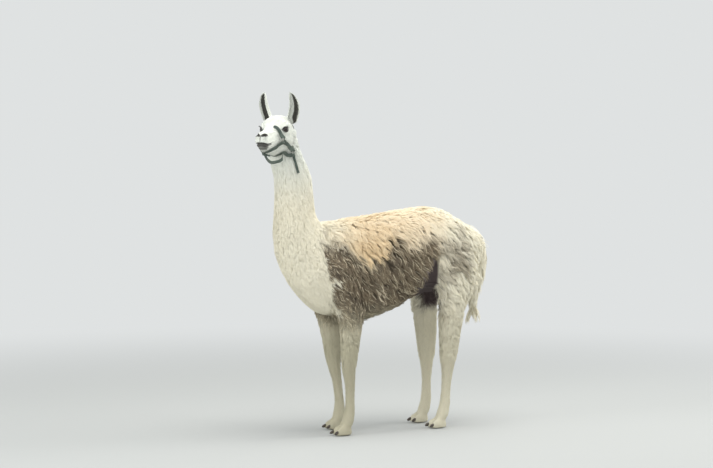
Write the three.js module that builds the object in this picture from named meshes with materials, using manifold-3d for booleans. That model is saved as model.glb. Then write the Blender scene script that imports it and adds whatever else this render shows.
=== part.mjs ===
// A llama standing at ease, its head turned to its left, in a loose webbing halter.
// Millimetres, +Z up. The llama faces -Y and its left side is +X. The origin is on the floor,
// under the middle of the whole animal.
//
// Flesh is given out to the tips of the coat. Each form is a loft: rings through named stations,
// drawn over a sphere's own grid. The forms are joined, parted again with thin cuts where one part
// of the animal ends and the next begins, and placed as one mesh for each part.
import * as THREE from "three";
import { mergeVertices } from "three/addons/utils/BufferGeometryUtils.js";
import Module from "manifold-3d";

const wasm = await Module();
wasm.setup();

const GAP = 0.6; // thin cut between two parts of the body
const FIT = 0.4; // clearance round a part that sits in another
const SIDES = { left: 1, right: -1 };

// ---------------------------------------------------------------- materials

const paint = (color, roughness, metalness = 0) =>
  new THREE.MeshStandardMaterial({ color, roughness, metalness });
const FINISH = {
  fleece: paint(0xcbbb9f, 0.95),
  wool: paint(0xdfdccb, 0.95),
  face: paint(0xe8e8df, 0.9),
  eye: paint(0x0c0a09, 0.08),
  nail: paint(0x4a4038, 0.5),
  webbing: paint(0x4d564f, 0.85),
  ring: paint(0x8f918c, 0.35, 0.9),
};

// ---------------------------------------------------------------- lofts and solids

// Body directions: forward is where the trunk faces, left is the llama's own left.
const place = (forward, left, up) => new THREE.Vector3(left, -forward, up);

// The station at a place along a loft, eased between the named ones with a cubic.
function stationAt(stations, at) {
  const last = stations.length - 1;
  const rising = stations[last].at > stations[0].at;
  const before = (s) => (rising ? s.at <= at : s.at >= at);
  let i = stations.findLastIndex(before);
  i = Math.min(Math.max(i, 0), last - 1);
  const [a, b] = [stations[i], stations[i + 1]];
  const t = THREE.MathUtils.clamp((at - a.at) / (b.at - a.at), 0, 1);
  const slope = (key, k) => {
    const [p, q] = [stations[Math.max(k - 1, 0)], stations[Math.min(k + 1, last)]];
    return (q[key] - p[key]) / (q.at - p.at);
  };
  const eased = {};
  for (const key of Object.keys(a)) {
    const span = b.at - a.at;
    const [m, n] = [slope(key, i) * span, slope(key, i + 1) * span];
    const [t2, t3] = [t * t, t * t * t];
    eased[key] =
      (2 * t3 - 3 * t2 + 1) * a[key] + (t3 - 2 * t2 + t) * m +
      (3 * t2 - 2 * t3) * b[key] + (t3 - t2) * n;
  }
  return eased;
}

// A round end closes a loft over this length.
const roundOff = (distance, length) =>
  distance >= length ? 1 : Math.sqrt(Math.max(0, 1 - (1 - distance / length) ** 2));

const power = (x, n) => Math.sign(x) * Math.abs(x) ** (2 / n);

// Draws rings over a sphere's grid. ring(station, cos, sin, grow) gives a point, and grow is how
// much larger the form is drawn on every side.
function loft({ stations, ring, around, rows, ends }, grow = 0) {
  const [from, to] = [stations[0].at, stations.at(-1).at];
  const length = Math.abs(to - from);
  const sphere = new THREE.SphereGeometry(1, around, rows);
  const spot = sphere.getAttribute("position");
  for (let k = 0; k < spot.count; k++) {
    const row = Math.floor(k / (around + 1));
    const column = (k % (around + 1)) % around;
    const even = row / rows;
    const t = even - (0.55 * Math.sin(2 * Math.PI * even)) / (2 * Math.PI);
    const size = Math.min(
      roundOff(t * length, ends[0]),
      roundOff((1 - t) * length, ends[1]),
    );
    const tip = row === 0 ? -1 : row === rows ? 1 : 0;
    const end = tip * grow * Math.sign(to - from);
    const station = stationAt(stations, from + (to - from) * t);
    const angle = (2 * Math.PI * (column + 0.5)) / around;
    const p = ring(station, Math.cos(angle), Math.sin(angle), size, tip ? 0 : grow, end);
    spot.setXYZ(k, p.x, p.y, p.z);
  }
  return sphere;
}

// A closed surface as a solid, with its faces turned out.
function solid(geometry) {
  const bare = geometry.clone();
  bare.deleteAttribute("normal");
  bare.deleteAttribute("uv");
  const merged = mergeVertices(bare, 1e-3);
  const made = (order) =>
    new wasm.Manifold(
      new wasm.Mesh({
        numProp: 3,
        vertProperties: merged.getAttribute("position").array,
        triVerts: order,
      }),
    );
  const order = new Uint32Array(merged.index.array);
  const first = made(order);
  if (first.volume() > 0) return first;
  for (let i = 0; i < order.length; i += 3) {
    [order[i + 1], order[i + 2]] = [order[i + 2], order[i + 1]];
  }
  return made(order);
}

const box = (size, centre, turn = new THREE.Euler()) => {
  const matrix = new THREE.Matrix4().makeRotationFromEuler(turn).setPosition(centre);
  return solid(new THREE.BoxGeometry(size.x, size.y, size.z).applyMatrix4(matrix));
};

const join = (...solids) => solids.reduce((whole, s) => whole.add(s));

// The largest of a solid's bodies: a cut may leave a crumb beside it.
const main = (s) => s.decompose().sort((a, b) => b.volume() - a.volume())[0];

const group = new THREE.Group();

function add(name, s, material) {
  const mesh = main(s).getMesh();
  const geometry = new THREE.BufferGeometry();
  const numbers = new Float32Array(mesh.numVert * 3);
  for (let i = 0; i < mesh.numVert; i++) {
    numbers.set(mesh.vertProperties.subarray(i * mesh.numProp, i * mesh.numProp + 3), i * 3);
  }
  geometry.setAttribute("position", new THREE.BufferAttribute(numbers, 3));
  geometry.setIndex(new THREE.BufferAttribute(mesh.triVerts, 1));
  geometry.computeVertexNormals();
  const part = new THREE.Mesh(geometry, material);
  part.name = name;
  group.add(part);
}

// ---------------------------------------------------------------- trunk

// Upright rings along the body: the back's height, the belly's, the height of the widest line
// and the half width there.
const TRUNK = {
  around: 20,
  rows: 16,
  ends: [90, 90],
  stations: [
    { at: 500, top: 1030, wide: 850, belly: 720, half: 96 },
    { at: 390, top: 1108, wide: 850, belly: 632, half: 160 },
    { at: 280, top: 1122, wide: 850, belly: 582, half: 204 },
    { at: 160, top: 1132, wide: 840, belly: 570, half: 228 },
    { at: 0, top: 1152, wide: 850, belly: 624, half: 242 },
    { at: -150, top: 1168, wide: 880, belly: 672, half: 240 },
    { at: -290, top: 1172, wide: 915, belly: 720, half: 226 },
    { at: -390, top: 1124, wide: 930, belly: 750, half: 208 },
    { at: -470, top: 1076, wide: 935, belly: 785, half: 184 },
    { at: -570, top: 1052, wide: 955, belly: 830, half: 142 },
  ],
  ring(s, c, n, size, grow, end) {
    const reach = n > 0 ? s.top - s.wide : s.wide - s.belly;
    const [up, across] = [reach * size + grow, s.half * size + grow];
    return place(s.at + end, across * power(c, 2.15), s.wide + up * power(n, 2.15));
  },
};

// ---------------------------------------------------------------- neck and chest

// Level rings down the neck: its centre, how far it reaches to the front and to the back of
// that, and its half width. The lowest rings are the chest and brisket.
const levelRing = (exponent) => (s, c, n, size, grow, end) => {
  const reach = c > 0 ? s.front : s.back;
  const [along, across] = [reach * size + grow, s.half * size + grow];
  const forward = s.forward + along * power(c, exponent);
  return place(forward, s.left + across * power(n, exponent), s.at + end);
};

const NECK = {
  around: 20,
  rows: 15,
  ends: [45, 60],
  ring: levelRing(2.1),
  stations: [
    { at: 1588, forward: 640, left: 0, front: 36, back: 40, half: 46 },
    { at: 1535, forward: 626, left: 0, front: 62, back: 76, half: 70 },
    { at: 1465, forward: 624, left: 0, front: 80, back: 86, half: 77 },
    { at: 1428, forward: 598, left: 0, front: 90, back: 96, half: 80 },
    { at: 1385, forward: 571, left: 0, front: 99, back: 101, half: 83 },
    { at: 1295, forward: 552, left: 0, front: 102, back: 104, half: 86 },
    { at: 1200, forward: 549, left: 0, front: 108, back: 106, half: 90 },
    { at: 1110, forward: 538, left: 0, front: 121, back: 114, half: 104 },
    { at: 1030, forward: 512, left: 0, front: 151, back: 158, half: 124 },
    { at: 950, forward: 474, left: 0, front: 177, back: 178, half: 146 },
    { at: 860, forward: 432, left: 0, front: 181, back: 168, half: 164 },
    { at: 780, forward: 398, left: 0, front: 166, back: 148, half: 164 },
    { at: 710, forward: 368, left: 0, front: 138, back: 128, half: 148 },
    { at: 650, forward: 344, left: 0, front: 100, back: 106, half: 120 },
    { at: 600, forward: 330, left: 0, front: 70, back: 86, half: 92 },
  ],
};

// ---------------------------------------------------------------- tail

const TAIL = {
  around: 10,
  rows: 9,
  ends: [30, 45],
  ring: levelRing(2),
  stations: [
    { at: 1070, forward: -480, left: 0, front: 40, back: 40, half: 44 },
    { at: 1010, forward: -530, left: 0, front: 46, back: 48, half: 56 },
    { at: 940, forward: -562, left: 0, front: 48, back: 52, half: 64 },
    { at: 880, forward: -572, left: 0, front: 48, back: 52, half: 64 },
    { at: 800, forward: -562, left: 0, front: 44, back: 46, half: 58 },
    { at: 700, forward: -540, left: 0, front: 34, back: 34, half: 42 },
    { at: 620, forward: -542, left: 0, front: 22, back: 26, half: 26 },
  ],
};

// ---------------------------------------------------------------- legs and feet

// Level rings down a leg. forward is measured from the leg's own line, which runs from its
// root straight down to where the foot stands, and left from the middle of the animal.
const LEGS = {
  front: {
    root: { height: 640, left: 290, right: 280 },
    joint: 352,
    fetlock: 112,
    feet: { left: 286, right: 202 },
    stations: [
      { at: 930, forward: 66, left: 118, front: 84, back: 88, half: 66 },
      { at: 800, forward: 44, left: 134, front: 104, back: 106, half: 82 },
      { at: 690, forward: 20, left: 136, front: 92, back: 96, half: 76 },
      { at: 600, forward: 2, left: 132, front: 72, back: 76, half: 64 },
      { at: 520, forward: 0, left: 126, front: 58, back: 62, half: 54 },
      { at: 440, forward: 1, left: 122, front: 52, back: 54, half: 48 },
      { at: 385, forward: 4, left: 120, front: 47, back: 46, half: 45 },
      { at: 340, forward: 5, left: 118, front: 42, back: 41, half: 41 },
      { at: 290, forward: 0, left: 117, front: 32, back: 34, half: 33 },
      { at: 200, forward: -2, left: 115, front: 27, back: 30, half: 28 },
      { at: 140, forward: -1, left: 114, front: 28, back: 31, half: 29 },
      { at: 108, forward: 3, left: 114, front: 32, back: 36, half: 34 },
      { at: 70, forward: 13, left: 114, front: 34, back: 36, half: 36 },
      { at: 30, forward: 20, left: 114, front: 34, back: 34, half: 34 },
    ],
  },
  hind: {
    root: { height: 700, left: -298, right: -302 },
    joint: 362,
    fetlock: 112,
    feet: { left: -292, right: -322 },
    stations: [
      { at: 1050, forward: 4, left: 104, front: 112, back: 112, half: 66 },
      { at: 930, forward: -20, left: 130, front: 150, back: 168, half: 96 },
      { at: 820, forward: -22, left: 142, front: 140, back: 168, half: 100 },
      { at: 720, forward: -14, left: 144, front: 92, back: 134, half: 94 },
      { at: 640, forward: -8, left: 141, front: 60, back: 98, half: 80 },
      { at: 560, forward: -8, left: 134, front: 56, back: 84, half: 66 },
      { at: 480, forward: -10, left: 128, front: 52, back: 74, half: 56 },
      { at: 415, forward: -11, left: 124, front: 50, back: 62, half: 50 },
      { at: 362, forward: -12, left: 122, front: 46, back: 54, half: 46 },
      { at: 320, forward: -12, left: 120, front: 38, back: 43, half: 39 },
      { at: 260, forward: -8, left: 118, front: 29, back: 32, half: 31 },
      { at: 180, forward: -4, left: 116, front: 28, back: 31, half: 29 },
      { at: 138, forward: 0, left: 115, front: 29, back: 33, half: 31 },
      { at: 106, forward: 4, left: 115, front: 33, back: 37, half: 35 },
      { at: 68, forward: 16, left: 115, front: 36, back: 36, half: 37 },
      { at: 30, forward: 22, left: 115, front: 35, back: 34, half: 35 },
    ],
  },
};

const FOOT = {
  toe: { half: 20, length: 56, height: 40, centre: 16, apart: 19, splay: 0.1, ahead: 22 },
  nail: { half: 8, length: 22, height: 9, up: 19, ahead: 46, dip: 0.42 },
};

function legOf(pair, side) {
  const leg = LEGS[pair];
  const [root, foot] = [leg.root[side], leg.feet[side]];
  const line = (height) => root + (foot - root) * (1 - Math.min(1, height / leg.root.height));
  const stations = leg.stations.map((s) => ({
    ...s,
    forward: s.forward + line(s.at),
    left: s.left * SIDES[side],
  }));
  return { stations, around: 10, rows: 18, ends: [60, 12], ring: levelRing(2) };
}

// One toe, or its nail: a sphere drawn out forward, dipped at the front and splayed a little.
function toeForm(form, foot, side, grow = 0) {
  const { apart, splay, ahead } = FOOT.toe;
  const part = FOOT[form];
  const [around, rows] = form === "toe" ? [8, 6] : [6, 4];
  const height = form === "toe" ? part.centre : part.up;
  const reach = form === "toe" ? 0 : part.ahead;
  const outline = new THREE.SphereGeometry(1, around, rows)
    .rotateX(Math.PI / 2)
    .scale(part.half + grow, part.length + grow, part.height + grow)
    .rotateX(part.dip ?? 0)
    .translate(0, -reach, height)
    .rotateZ(splay * side)
    .translate(apart * side, -ahead, 0);
  return outline.translate(foot.left, -foot.forward, 0);
}

// ---------------------------------------------------------------- head

// The head has its own directions: x forward from the poll, y to its left, z up from the
// mouth line. It is turned to the left and tipped up a little.
const HEAD_TURN = THREE.MathUtils.degToRad(37);
const HEAD_TIP = THREE.MathUtils.degToRad(3);
const HEAD_AT = place(608, 0, 1490);
const HEAD_FRAME = new THREE.Matrix4()
  .makeRotationZ(HEAD_TURN - Math.PI / 2)
  .multiply(new THREE.Matrix4().makeRotationY(-HEAD_TIP))
  .setPosition(HEAD_AT);

// Upright rings along the head: crown or nose bridge, the widest line, the jaw's lower edge, the
// half width, and how square the upper and lower halves are.
const HEAD = {
  around: 24,
  rows: 21,
  ends: [55, 24],
  stations: [
    { at: -30, top: 118, wide: 60, jaw: -4, half: 48, above: 2.1, below: 2 },
    { at: 5, top: 142, wide: 62, jaw: -32, half: 62, above: 2.2, below: 2 },
    { at: 48, top: 160, wide: 66, jaw: -48, half: 72, above: 2.3, below: 2 },
    { at: 84, top: 160, wide: 76, jaw: -52, half: 80, above: 2.4, below: 1.9 },
    { at: 116, top: 144, wide: 82, jaw: -52, half: 80, above: 2.5, below: 1.7 },
    { at: 145, top: 117, wide: 66, jaw: -49, half: 61, above: 2.3, below: 1.7 },
    { at: 174, top: 98, wide: 44, jaw: -46, half: 46, above: 2.1, below: 2 },
    { at: 206, top: 86, wide: 34, jaw: -42, half: 39, above: 2.1, below: 2 },
    { at: 238, top: 76, wide: 30, jaw: -37, half: 36, above: 2.2, below: 2 },
    { at: 266, top: 66, wide: 28, jaw: -27, half: 35, above: 2.3, below: 1.9 },
    { at: 294, top: 50, wide: 22, jaw: -8, half: 29, above: 2.2, below: 2 },
  ],
  ring(s, c, n, size, grow, end) {
    const upper = n > 0;
    const reach = upper ? s.top - s.wide : s.wide - s.jaw;
    const [up, across] = [reach * size + grow, s.half * size + grow];
    const e = upper ? s.above : s.below;
    return new THREE.Vector3(s.at + end, across * power(c, e), s.wide + up * power(n, e));
  },
};

// Rises and hollows of the face: where, how far they spread, and which way they push.
const EYE = { x: 124, y: 64, z: 84, ball: 19 };
const FACE = [
  { at: [116, 64, 108], spread: [34, 30, 22], push: [0, 6, 6] }, // brow over the eye
  { at: [158, 52, 84], spread: [30, 24, 26], push: [0, -6, -2] }, // hollow before the eye
  { at: [68, 66, 6], spread: [52, 26, 40], push: [0, 7, 0] }, // cheek muscle
  { at: [274, 24, 46], spread: [24, 16, 16], push: [2, 4, 3] }, // wing of the nostril
  { at: [252, 32, 16], spread: [34, 20, 18], push: [0, 3, 0] }, // upper lip
  { at: [274, 0, -20], spread: [22, 26, 16], push: [3, 0, -3] }, // chin
  { at: [292, 0, 34], spread: [20, 9, 34], push: [-5, 0, 0] }, // cleft of the lip
];

function headForm(grow = 0) {
  const shape = loft(HEAD, grow);
  const spot = shape.getAttribute("position");
  for (let k = 0; k < spot.count; k++) {
    const p = new THREE.Vector3().fromBufferAttribute(spot, k);
    const move = new THREE.Vector3();
    for (const { at, spread, push } of FACE) {
      for (const side of at[1] ? [1, -1] : [1]) {
        const away = Math.hypot(
          (p.x - at[0]) / spread[0],
          (p.y - at[1] * side) / spread[1],
          (p.z - at[2]) / spread[2],
        );
        const share = away < 1 ? (1 - away * away) ** 2 : 0;
        move.x += push[0] * share;
        move.y += push[1] * side * share;
        move.z += push[2] * share;
      }
    }
    p.add(move);
    spot.setXYZ(k, p.x, p.y, p.z);
  }
  return shape;
}

const onHead = (geometry) => solid(geometry.clone().applyMatrix4(HEAD_FRAME));

// An ear: a long leaf cupped round its opening, standing on the crown and curved in at its tip.
const EAR = { length: 168, rows: 9, around: 12, thick: 7, wrap: 2.0, aim: 0.45 };
const EAR_RINGS = [
  { at: 0, x: 50, y: 60, radius: 27 },
  { at: 0.25, x: 56, y: 74, radius: 29 },
  { at: 0.5, x: 66, y: 86, radius: 28 },
  { at: 0.75, x: 80, y: 86, radius: 21 },
  { at: 0.92, x: 92, y: 77, radius: 12 },
  { at: 1, x: 97, y: 71, radius: 4 },
];
const EAR_FOOT = 112;

function earForm(side, grow = 0) {
  const { length, rows, around, thick, wrap, aim } = EAR;
  const half = around / 2;
  return loft({
    stations: EAR_RINGS,
    around,
    rows,
    ends: [0.04, 0.1],
    ring(s, cos, sin, size) {
      // The ring runs up the outside of the leaf and back down its inside.
      const turn = (Math.atan2(sin, cos) + 2 * Math.PI) % (2 * Math.PI);
      const step = (turn / (2 * Math.PI)) * around - 0.5;
      const outside = step < half;
      const share = (outside ? step : around - 1 - step) / (half - 1);
      const angle = (share - 0.5) * 2 * wrap;
      const wall = Math.min(thick, s.radius * 0.5) * 0.5 + grow;
      const radius = (s.radius + (outside ? wall : -wall)) * size;
      const facing = Math.PI - aim * side + angle * side;
      const x = s.x + Math.cos(facing) * radius * 0.8;
      const y = s.y * side - Math.sin(facing) * radius;
      return new THREE.Vector3(x, y, EAR_FOOT + s.at * length);
    },
  });
}

// ---------------------------------------------------------------- flesh, joined and parted

const eyeForm = (side, grow = 0) =>
  new THREE.SphereGeometry(EYE.ball + grow, 12, 8).translate(EYE.x, EYE.y * side, EYE.z);

const legForms = [];
for (const pair of ["front", "hind"]) {
  for (const side of ["left", "right"]) legForms.push({ pair, side, form: legOf(pair, side) });
}

// A cut runs through the whole animal: a thin slab through two points, level from side to side.
function slab(a, b) {
  const tilt = Math.atan2(b.up - a.up, b.forward - a.forward);
  const middle = place((a.forward + b.forward) / 2, 0, (a.up + b.up) / 2);
  return box(new THREE.Vector3(900, 2400, GAP), middle, new THREE.Euler(-tilt, 0, 0));
}

const NECK_FOOT = slab({ forward: 400, up: 1125 }, { forward: 690, up: 930 });
const THROAT = slab({ forward: 520, up: 1560 }, { forward: 690, up: 1400 });

const ears = Object.values(SIDES).map((side) => onHead(earForm(side, FIT)));
const eyes = Object.values(SIDES).map((side) => onHead(eyeForm(side, FIT)));
const legRoots = legForms.map(({ form }) => solid(loft(form, FIT)));

let flesh = join(solid(loft(TRUNK)), solid(loft(NECK)), onHead(headForm()));
for (const part of [...ears, ...eyes, ...legRoots, solid(loft(TAIL, FIT))]) {
  flesh = flesh.subtract(part);
}
const pieces = flesh
  .subtract(NECK_FOOT)
  .subtract(THROAT)
  .decompose()
  .sort((a, b) => b.volume() - a.volume())
  .slice(0, 3);
const heightOf = (s) => s.boundingBox().min[2];
const [trunk, neck, head] = pieces.sort((a, b) => heightOf(a) - heightOf(b));

// The mouth: a thin cut that follows the lips back to their corner, then drops behind the jaw.
const MOUTH = {
  lips: [[320, 20], [280, 14], [240, 3], [196, -2], [160, -14], [125, -34], [98, -75]],
  cut: 1.2,
};

function mouthCut() {
  const edge = (offset) => MOUTH.lips.map(([x, z]) => new THREE.Vector2(x, z + offset));
  const outline = new THREE.Shape([...edge(MOUTH.cut / 2), ...edge(-MOUTH.cut / 2).reverse()]);
  return new THREE.ExtrudeGeometry(outline, { depth: 200, bevelEnabled: false })
    .rotateX(Math.PI / 2)
    .translate(0, 100, 0);
}
const [skull, jaw] = head
  .subtract(onHead(mouthCut()))
  .decompose()
  .sort((a, b) => b.volume() - a.volume());

add("trunk", trunk, FINISH.fleece);
add("neck", neck, FINISH.wool);
add("head", skull, FINISH.face);
add("lower_jaw", jaw, FINISH.face);
add("tail", solid(loft(TAIL)), FINISH.fleece);
for (const [name, side] of Object.entries(SIDES)) {
  add(`ear_${name}`, onHead(earForm(side)), FINISH.face);
  add(`eye_${name}`, onHead(eyeForm(side)), FINISH.eye);
}

// Legs: the upper leg down to the knee or hock, the cannon, and the foot with its two toes.
const level = (height) => slab({ forward: -1, up: height }, { forward: 1, up: height });
const underFloor = box(new THREE.Vector3(2000, 3000, 200), new THREE.Vector3(0, 0, -100));

for (const { pair, side, form } of legForms) {
  const { joint, fetlock } = LEGS[pair];
  const hoof = form.stations.at(-1);
  const stand = { forward: hoof.forward, left: hoof.left };
  const toes = [1, -1].map((t) => solid(toeForm("toe", stand, t)));
  const nails = [1, -1].map((t) => solid(toeForm("nail", stand, t, FIT)));
  let leg = join(solid(loft(form)), ...toes).subtract(underFloor);
  for (const nail of nails) leg = leg.subtract(nail);
  const parts = leg
    .subtract(level(joint))
    .subtract(level(fetlock))
    .decompose()
    .sort((a, b) => b.volume() - a.volume())
    .slice(0, 3)
    .sort((a, b) => heightOf(b) - heightOf(a));
  ["upper", "cannon", "foot"].forEach((part, i) => {
    add(`${pair}_${side}_${part}`, parts[i], FINISH.wool);
  });
  add(`${pair}_${side}_nail_a`, solid(toeForm("nail", stand, 1)), FINISH.nail);
  add(`${pair}_${side}_nail_b`, solid(toeForm("nail", stand, -1)), FINISH.nail);
}

// ---------------------------------------------------------------- halter

// Webbing straps laid over the coat of the head and neck. Key points are in the head's own
// directions. A laid strap is brought onto the coat at both its edges; a free one hangs.
const STRAP = { wide: 19, thick: 2.6, lift: 1.2 };
const RING = { radius: 12, wire: 2.1, clear: 6.5 };
const coat = [
  new THREE.Mesh(headForm().applyMatrix4(HEAD_FRAME)),
  new THREE.Mesh(loft(NECK)),
];
for (const mesh of coat) mesh.material.side = THREE.DoubleSide;
const headPoint = ([x, y, z]) => new THREE.Vector3(x, y, z).applyMatrix4(HEAD_FRAME);
const AXIS = { height: 30, behind: 20 };
const RAY_START = 80;
const toHead = HEAD_FRAME.clone().invert();
const axisPoint = (local) =>
  headPoint([Math.max(local.x, AXIS.behind), 0, Math.min(local.z, AXIS.height)]);

// The place on the coat in line with a point, seen from the middle of the head.
function onCoat(point) {
  const inner = axisPoint(point.clone().applyMatrix4(toHead));
  const out = point.clone().sub(inner).normalize();
  const start = point.clone().addScaledVector(out, RAY_START);
  const ray = new THREE.Raycaster(start, out.negate());
  const hit = ray.intersectObjects(coat)[0];
  return hit ? hit.point : point;
}

// One strap: a box bent along a curve, its width laid across the coat and its thickness outward.
function strap({ points, pieces, laid = true, wide = STRAP.wide, lift = STRAP.lift }) {
  const curve = new THREE.CatmullRomCurve3(points.map(headPoint));
  const bar = new THREE.BoxGeometry(1, 1, 1, pieces, 1, 1);
  const centre = headPoint([60, 0, 10]);
  const rails = [];
  for (let k = 0; k <= pieces; k++) {
    const t = k / pieces;
    const spot = curve.getPointAt(t);
    const along = curve.getTangentAt(t);
    const inner = laid ? axisPoint(spot.clone().applyMatrix4(toHead)) : centre;
    const across = along.clone().cross(spot.clone().sub(inner)).normalize();
    let edges = [-0.5, 0.5].map((e) => spot.clone().addScaledVector(across, e * wide));
    if (laid) edges = edges.map(onCoat);
    const flat = edges[1].clone().sub(edges[0]).normalize();
    const middle = edges[0].clone().add(edges[1]).multiplyScalar(0.5);
    if (laid) middle.add(onCoat(spot)).multiplyScalar(0.5);
    const out = flat.clone().cross(along).normalize();
    rails.push({ middle, flat, out });
  }
  const spot = bar.getAttribute("position");
  for (let k = 0; k < spot.count; k++) {
    const rail = rails[Math.round((spot.getX(k) + 0.5) * pieces)];
    const rise = lift + (spot.getY(k) + 0.5) * STRAP.thick;
    const p = rail.middle
      .clone()
      .addScaledVector(rail.flat, spot.getZ(k) * wide)
      .addScaledVector(rail.out, rise);
    spot.setXYZ(k, p.x, p.y, p.z);
  }
  return bar;
}

const mirrored = (half) => [
  ...half,
  ...half.slice(0, -1).reverse().map(([x, y, z]) => [x, -y, z]),
];
const onSide = (points, side) => points.map(([x, y, z]) => [x, y * side, z]);

const CHEEK_RING = [149, 49, 30];
const THROAT_RING = [44, 66, -26];
const straps = {
  noseband: {
    points: mirrored([[150, 50, 42], [154, 46, 70], [163, 28, 94], [167, 0, 104]]),
    pieces: 12,
  },
  chin_strap: {
    points: mirrored([[154, 48, 21], [170, 42, -7], [196, 36, -20], [228, 22, -38], [236, 0, -44]]),
    pieces: 14,
  },
  crown_strap: {
    points: mirrored([[40, 66, -10], [28, 72, 30], [14, 60, 96], [0, 32, 132], [-6, 0, 140]]),
    pieces: 16,
    lift: 3,
  },
  throat_strap: {
    points: mirrored([[58, 68, -42], [76, 68, -50], [104, 50, -52], [112, 0, -60]]),
    pieces: 12,
  },
};
for (const [name, side] of Object.entries(SIDES)) {
  straps[`cheek_strap_${name}`] = {
    points: onSide([[137, 53, 25], [95, 72, 6], [58, 70, -18]], side),
    pieces: 5,
  };
}

const hide = join(onHead(headForm(FIT)), solid(loft(NECK, FIT)));
for (const [name, plan] of Object.entries(straps)) {
  add(name, solid(strap(plan)).subtract(hide), FINISH.webbing);
}

// The slack strap under the jaw, and the crown strap's loose end on the near side.
const LOOP = [
  [232, 0, -50], [204, 2, -66], [166, 5, -82], [136, 20, -80], [112, 42, -66], [102, 60, -56],
];
const loop = strap({ points: LOOP, pieces: 10, laid: false, wide: 16 });
add("jaw_loop", solid(loop).subtract(hide), FINISH.webbing);

const LOOSE_END = [[36, 69, -46], [24, 80, -84], [10, 86, -132]];
const looseEnd = strap({ points: LOOSE_END, pieces: 5, wide: 13 });
add("strap_end", solid(looseEnd).subtract(hide), FINISH.webbing);

// A ring lies on the straps that meet at it.
function ring(at) {
  const spot = onCoat(headPoint(at));
  const out = spot.clone().sub(headPoint([at[0], at[1] * 0.3, at[2]])).normalize();
  const turn = new THREE.Quaternion().setFromUnitVectors(new THREE.Vector3(0, 0, 1), out);
  const raise = STRAP.lift + STRAP.thick + RING.wire + RING.clear;
  const centre = spot.addScaledVector(out, raise);
  return new THREE.TorusGeometry(RING.radius, RING.wire, 4, 11)
    .applyQuaternion(turn)
    .translate(centre.x, centre.y, centre.z);
}
for (const [name, side] of Object.entries(SIDES)) {
  add(`cheek_ring_${name}`, solid(ring(onSide([CHEEK_RING], side)[0])), FINISH.ring);
  add(`throat_ring_${name}`, solid(ring(onSide([THROAT_RING], side)[0])), FINISH.ring);
}

// ---------------------------------------------------------------- the whole animal, on its origin

const bounds = new THREE.Box3().setFromObject(group, true);
const centre = bounds.getCenter(new THREE.Vector3());
group.position.set(-centre.x, -centre.y, 0);

export default group;
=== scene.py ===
"""A standing llama in a worn web halter, life size: skin, fleece, eyes, nails and halter."""
import math

import bmesh
import bpy
import numpy as np
from mathutils import Matrix, Vector
from mathutils.bvhtree import BVHTree
from mathutils.kdtree import KDTree


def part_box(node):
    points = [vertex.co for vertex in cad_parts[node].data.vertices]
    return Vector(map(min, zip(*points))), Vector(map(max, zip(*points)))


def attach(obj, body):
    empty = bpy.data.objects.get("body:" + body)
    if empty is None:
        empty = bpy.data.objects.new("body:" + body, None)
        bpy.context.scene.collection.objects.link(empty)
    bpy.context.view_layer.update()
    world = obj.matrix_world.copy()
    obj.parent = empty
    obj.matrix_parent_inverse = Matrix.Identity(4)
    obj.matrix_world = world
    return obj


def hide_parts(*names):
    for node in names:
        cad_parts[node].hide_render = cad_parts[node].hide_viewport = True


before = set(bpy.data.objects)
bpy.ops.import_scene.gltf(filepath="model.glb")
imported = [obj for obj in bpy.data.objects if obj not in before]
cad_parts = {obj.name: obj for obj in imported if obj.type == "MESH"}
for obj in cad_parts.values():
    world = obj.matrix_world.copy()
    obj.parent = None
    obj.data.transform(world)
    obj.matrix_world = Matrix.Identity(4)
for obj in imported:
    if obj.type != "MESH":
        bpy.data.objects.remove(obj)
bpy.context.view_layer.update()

# ---------------------------------------------------------------------------------------------
# Studio: a wide pale floor that fades into the pale backdrop, a big soft lamp overhead, one for
# the near side and one past each end, and a long lens at the height of a standing person's eye.

BACKDROP = (0.74, 0.76, 0.76)
CAMERA_AZIMUTH = math.radians(60)
CAMERA_DISTANCE = 12.0
CAMERA_HEIGHT = 1.70
CAMERA_AIM = Vector((0.0, -0.0653, 0.0))
CAMERA_TILT = 1 / 18
SENSOR = 36.0
LENS_WIDTHS = 3.2314165

scene = bpy.context.scene
scene.view_settings.view_transform = "Standard"

camera = bpy.data.objects.new("camera", bpy.data.cameras.new("camera"))
scene.collection.objects.link(camera)
camera.data.sensor_width = SENSOR
camera.data.lens = SENSOR * LENS_WIDTHS
camera.data.clip_end = 200.0
back = Vector((math.sin(CAMERA_AZIMUTH), -math.cos(CAMERA_AZIMUTH), 0.0))
camera.location = CAMERA_AIM + back * CAMERA_DISTANCE + Vector((0, 0, CAMERA_HEIGHT))
gaze = (-back + Vector((0, 0, -CAMERA_TILT))).normalized()
camera.rotation_euler = gaze.to_track_quat("-Z", "Y").to_euler()
scene.camera = camera

world = bpy.data.worlds.new("backdrop")
scene.world = world
world.use_nodes = True
world.node_tree.nodes["Background"].inputs["Color"].default_value = (*BACKDROP, 1.0)
world.node_tree.nodes["Background"].inputs["Strength"].default_value = 1.0


def lamp(name, place, aim, size, power, colour):
    """A square soft lamp that hangs at place and shines at aim."""
    light = bpy.data.lights.new(name, "AREA")
    light.shape, light.size, light.energy, light.color = "SQUARE", size, power, colour
    holder = bpy.data.objects.new(name, light)
    scene.collection.objects.link(holder)
    holder.location = place
    holder.rotation_euler = (Vector(aim) - Vector(place)).to_track_quat("-Z", "Y").to_euler()


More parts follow.
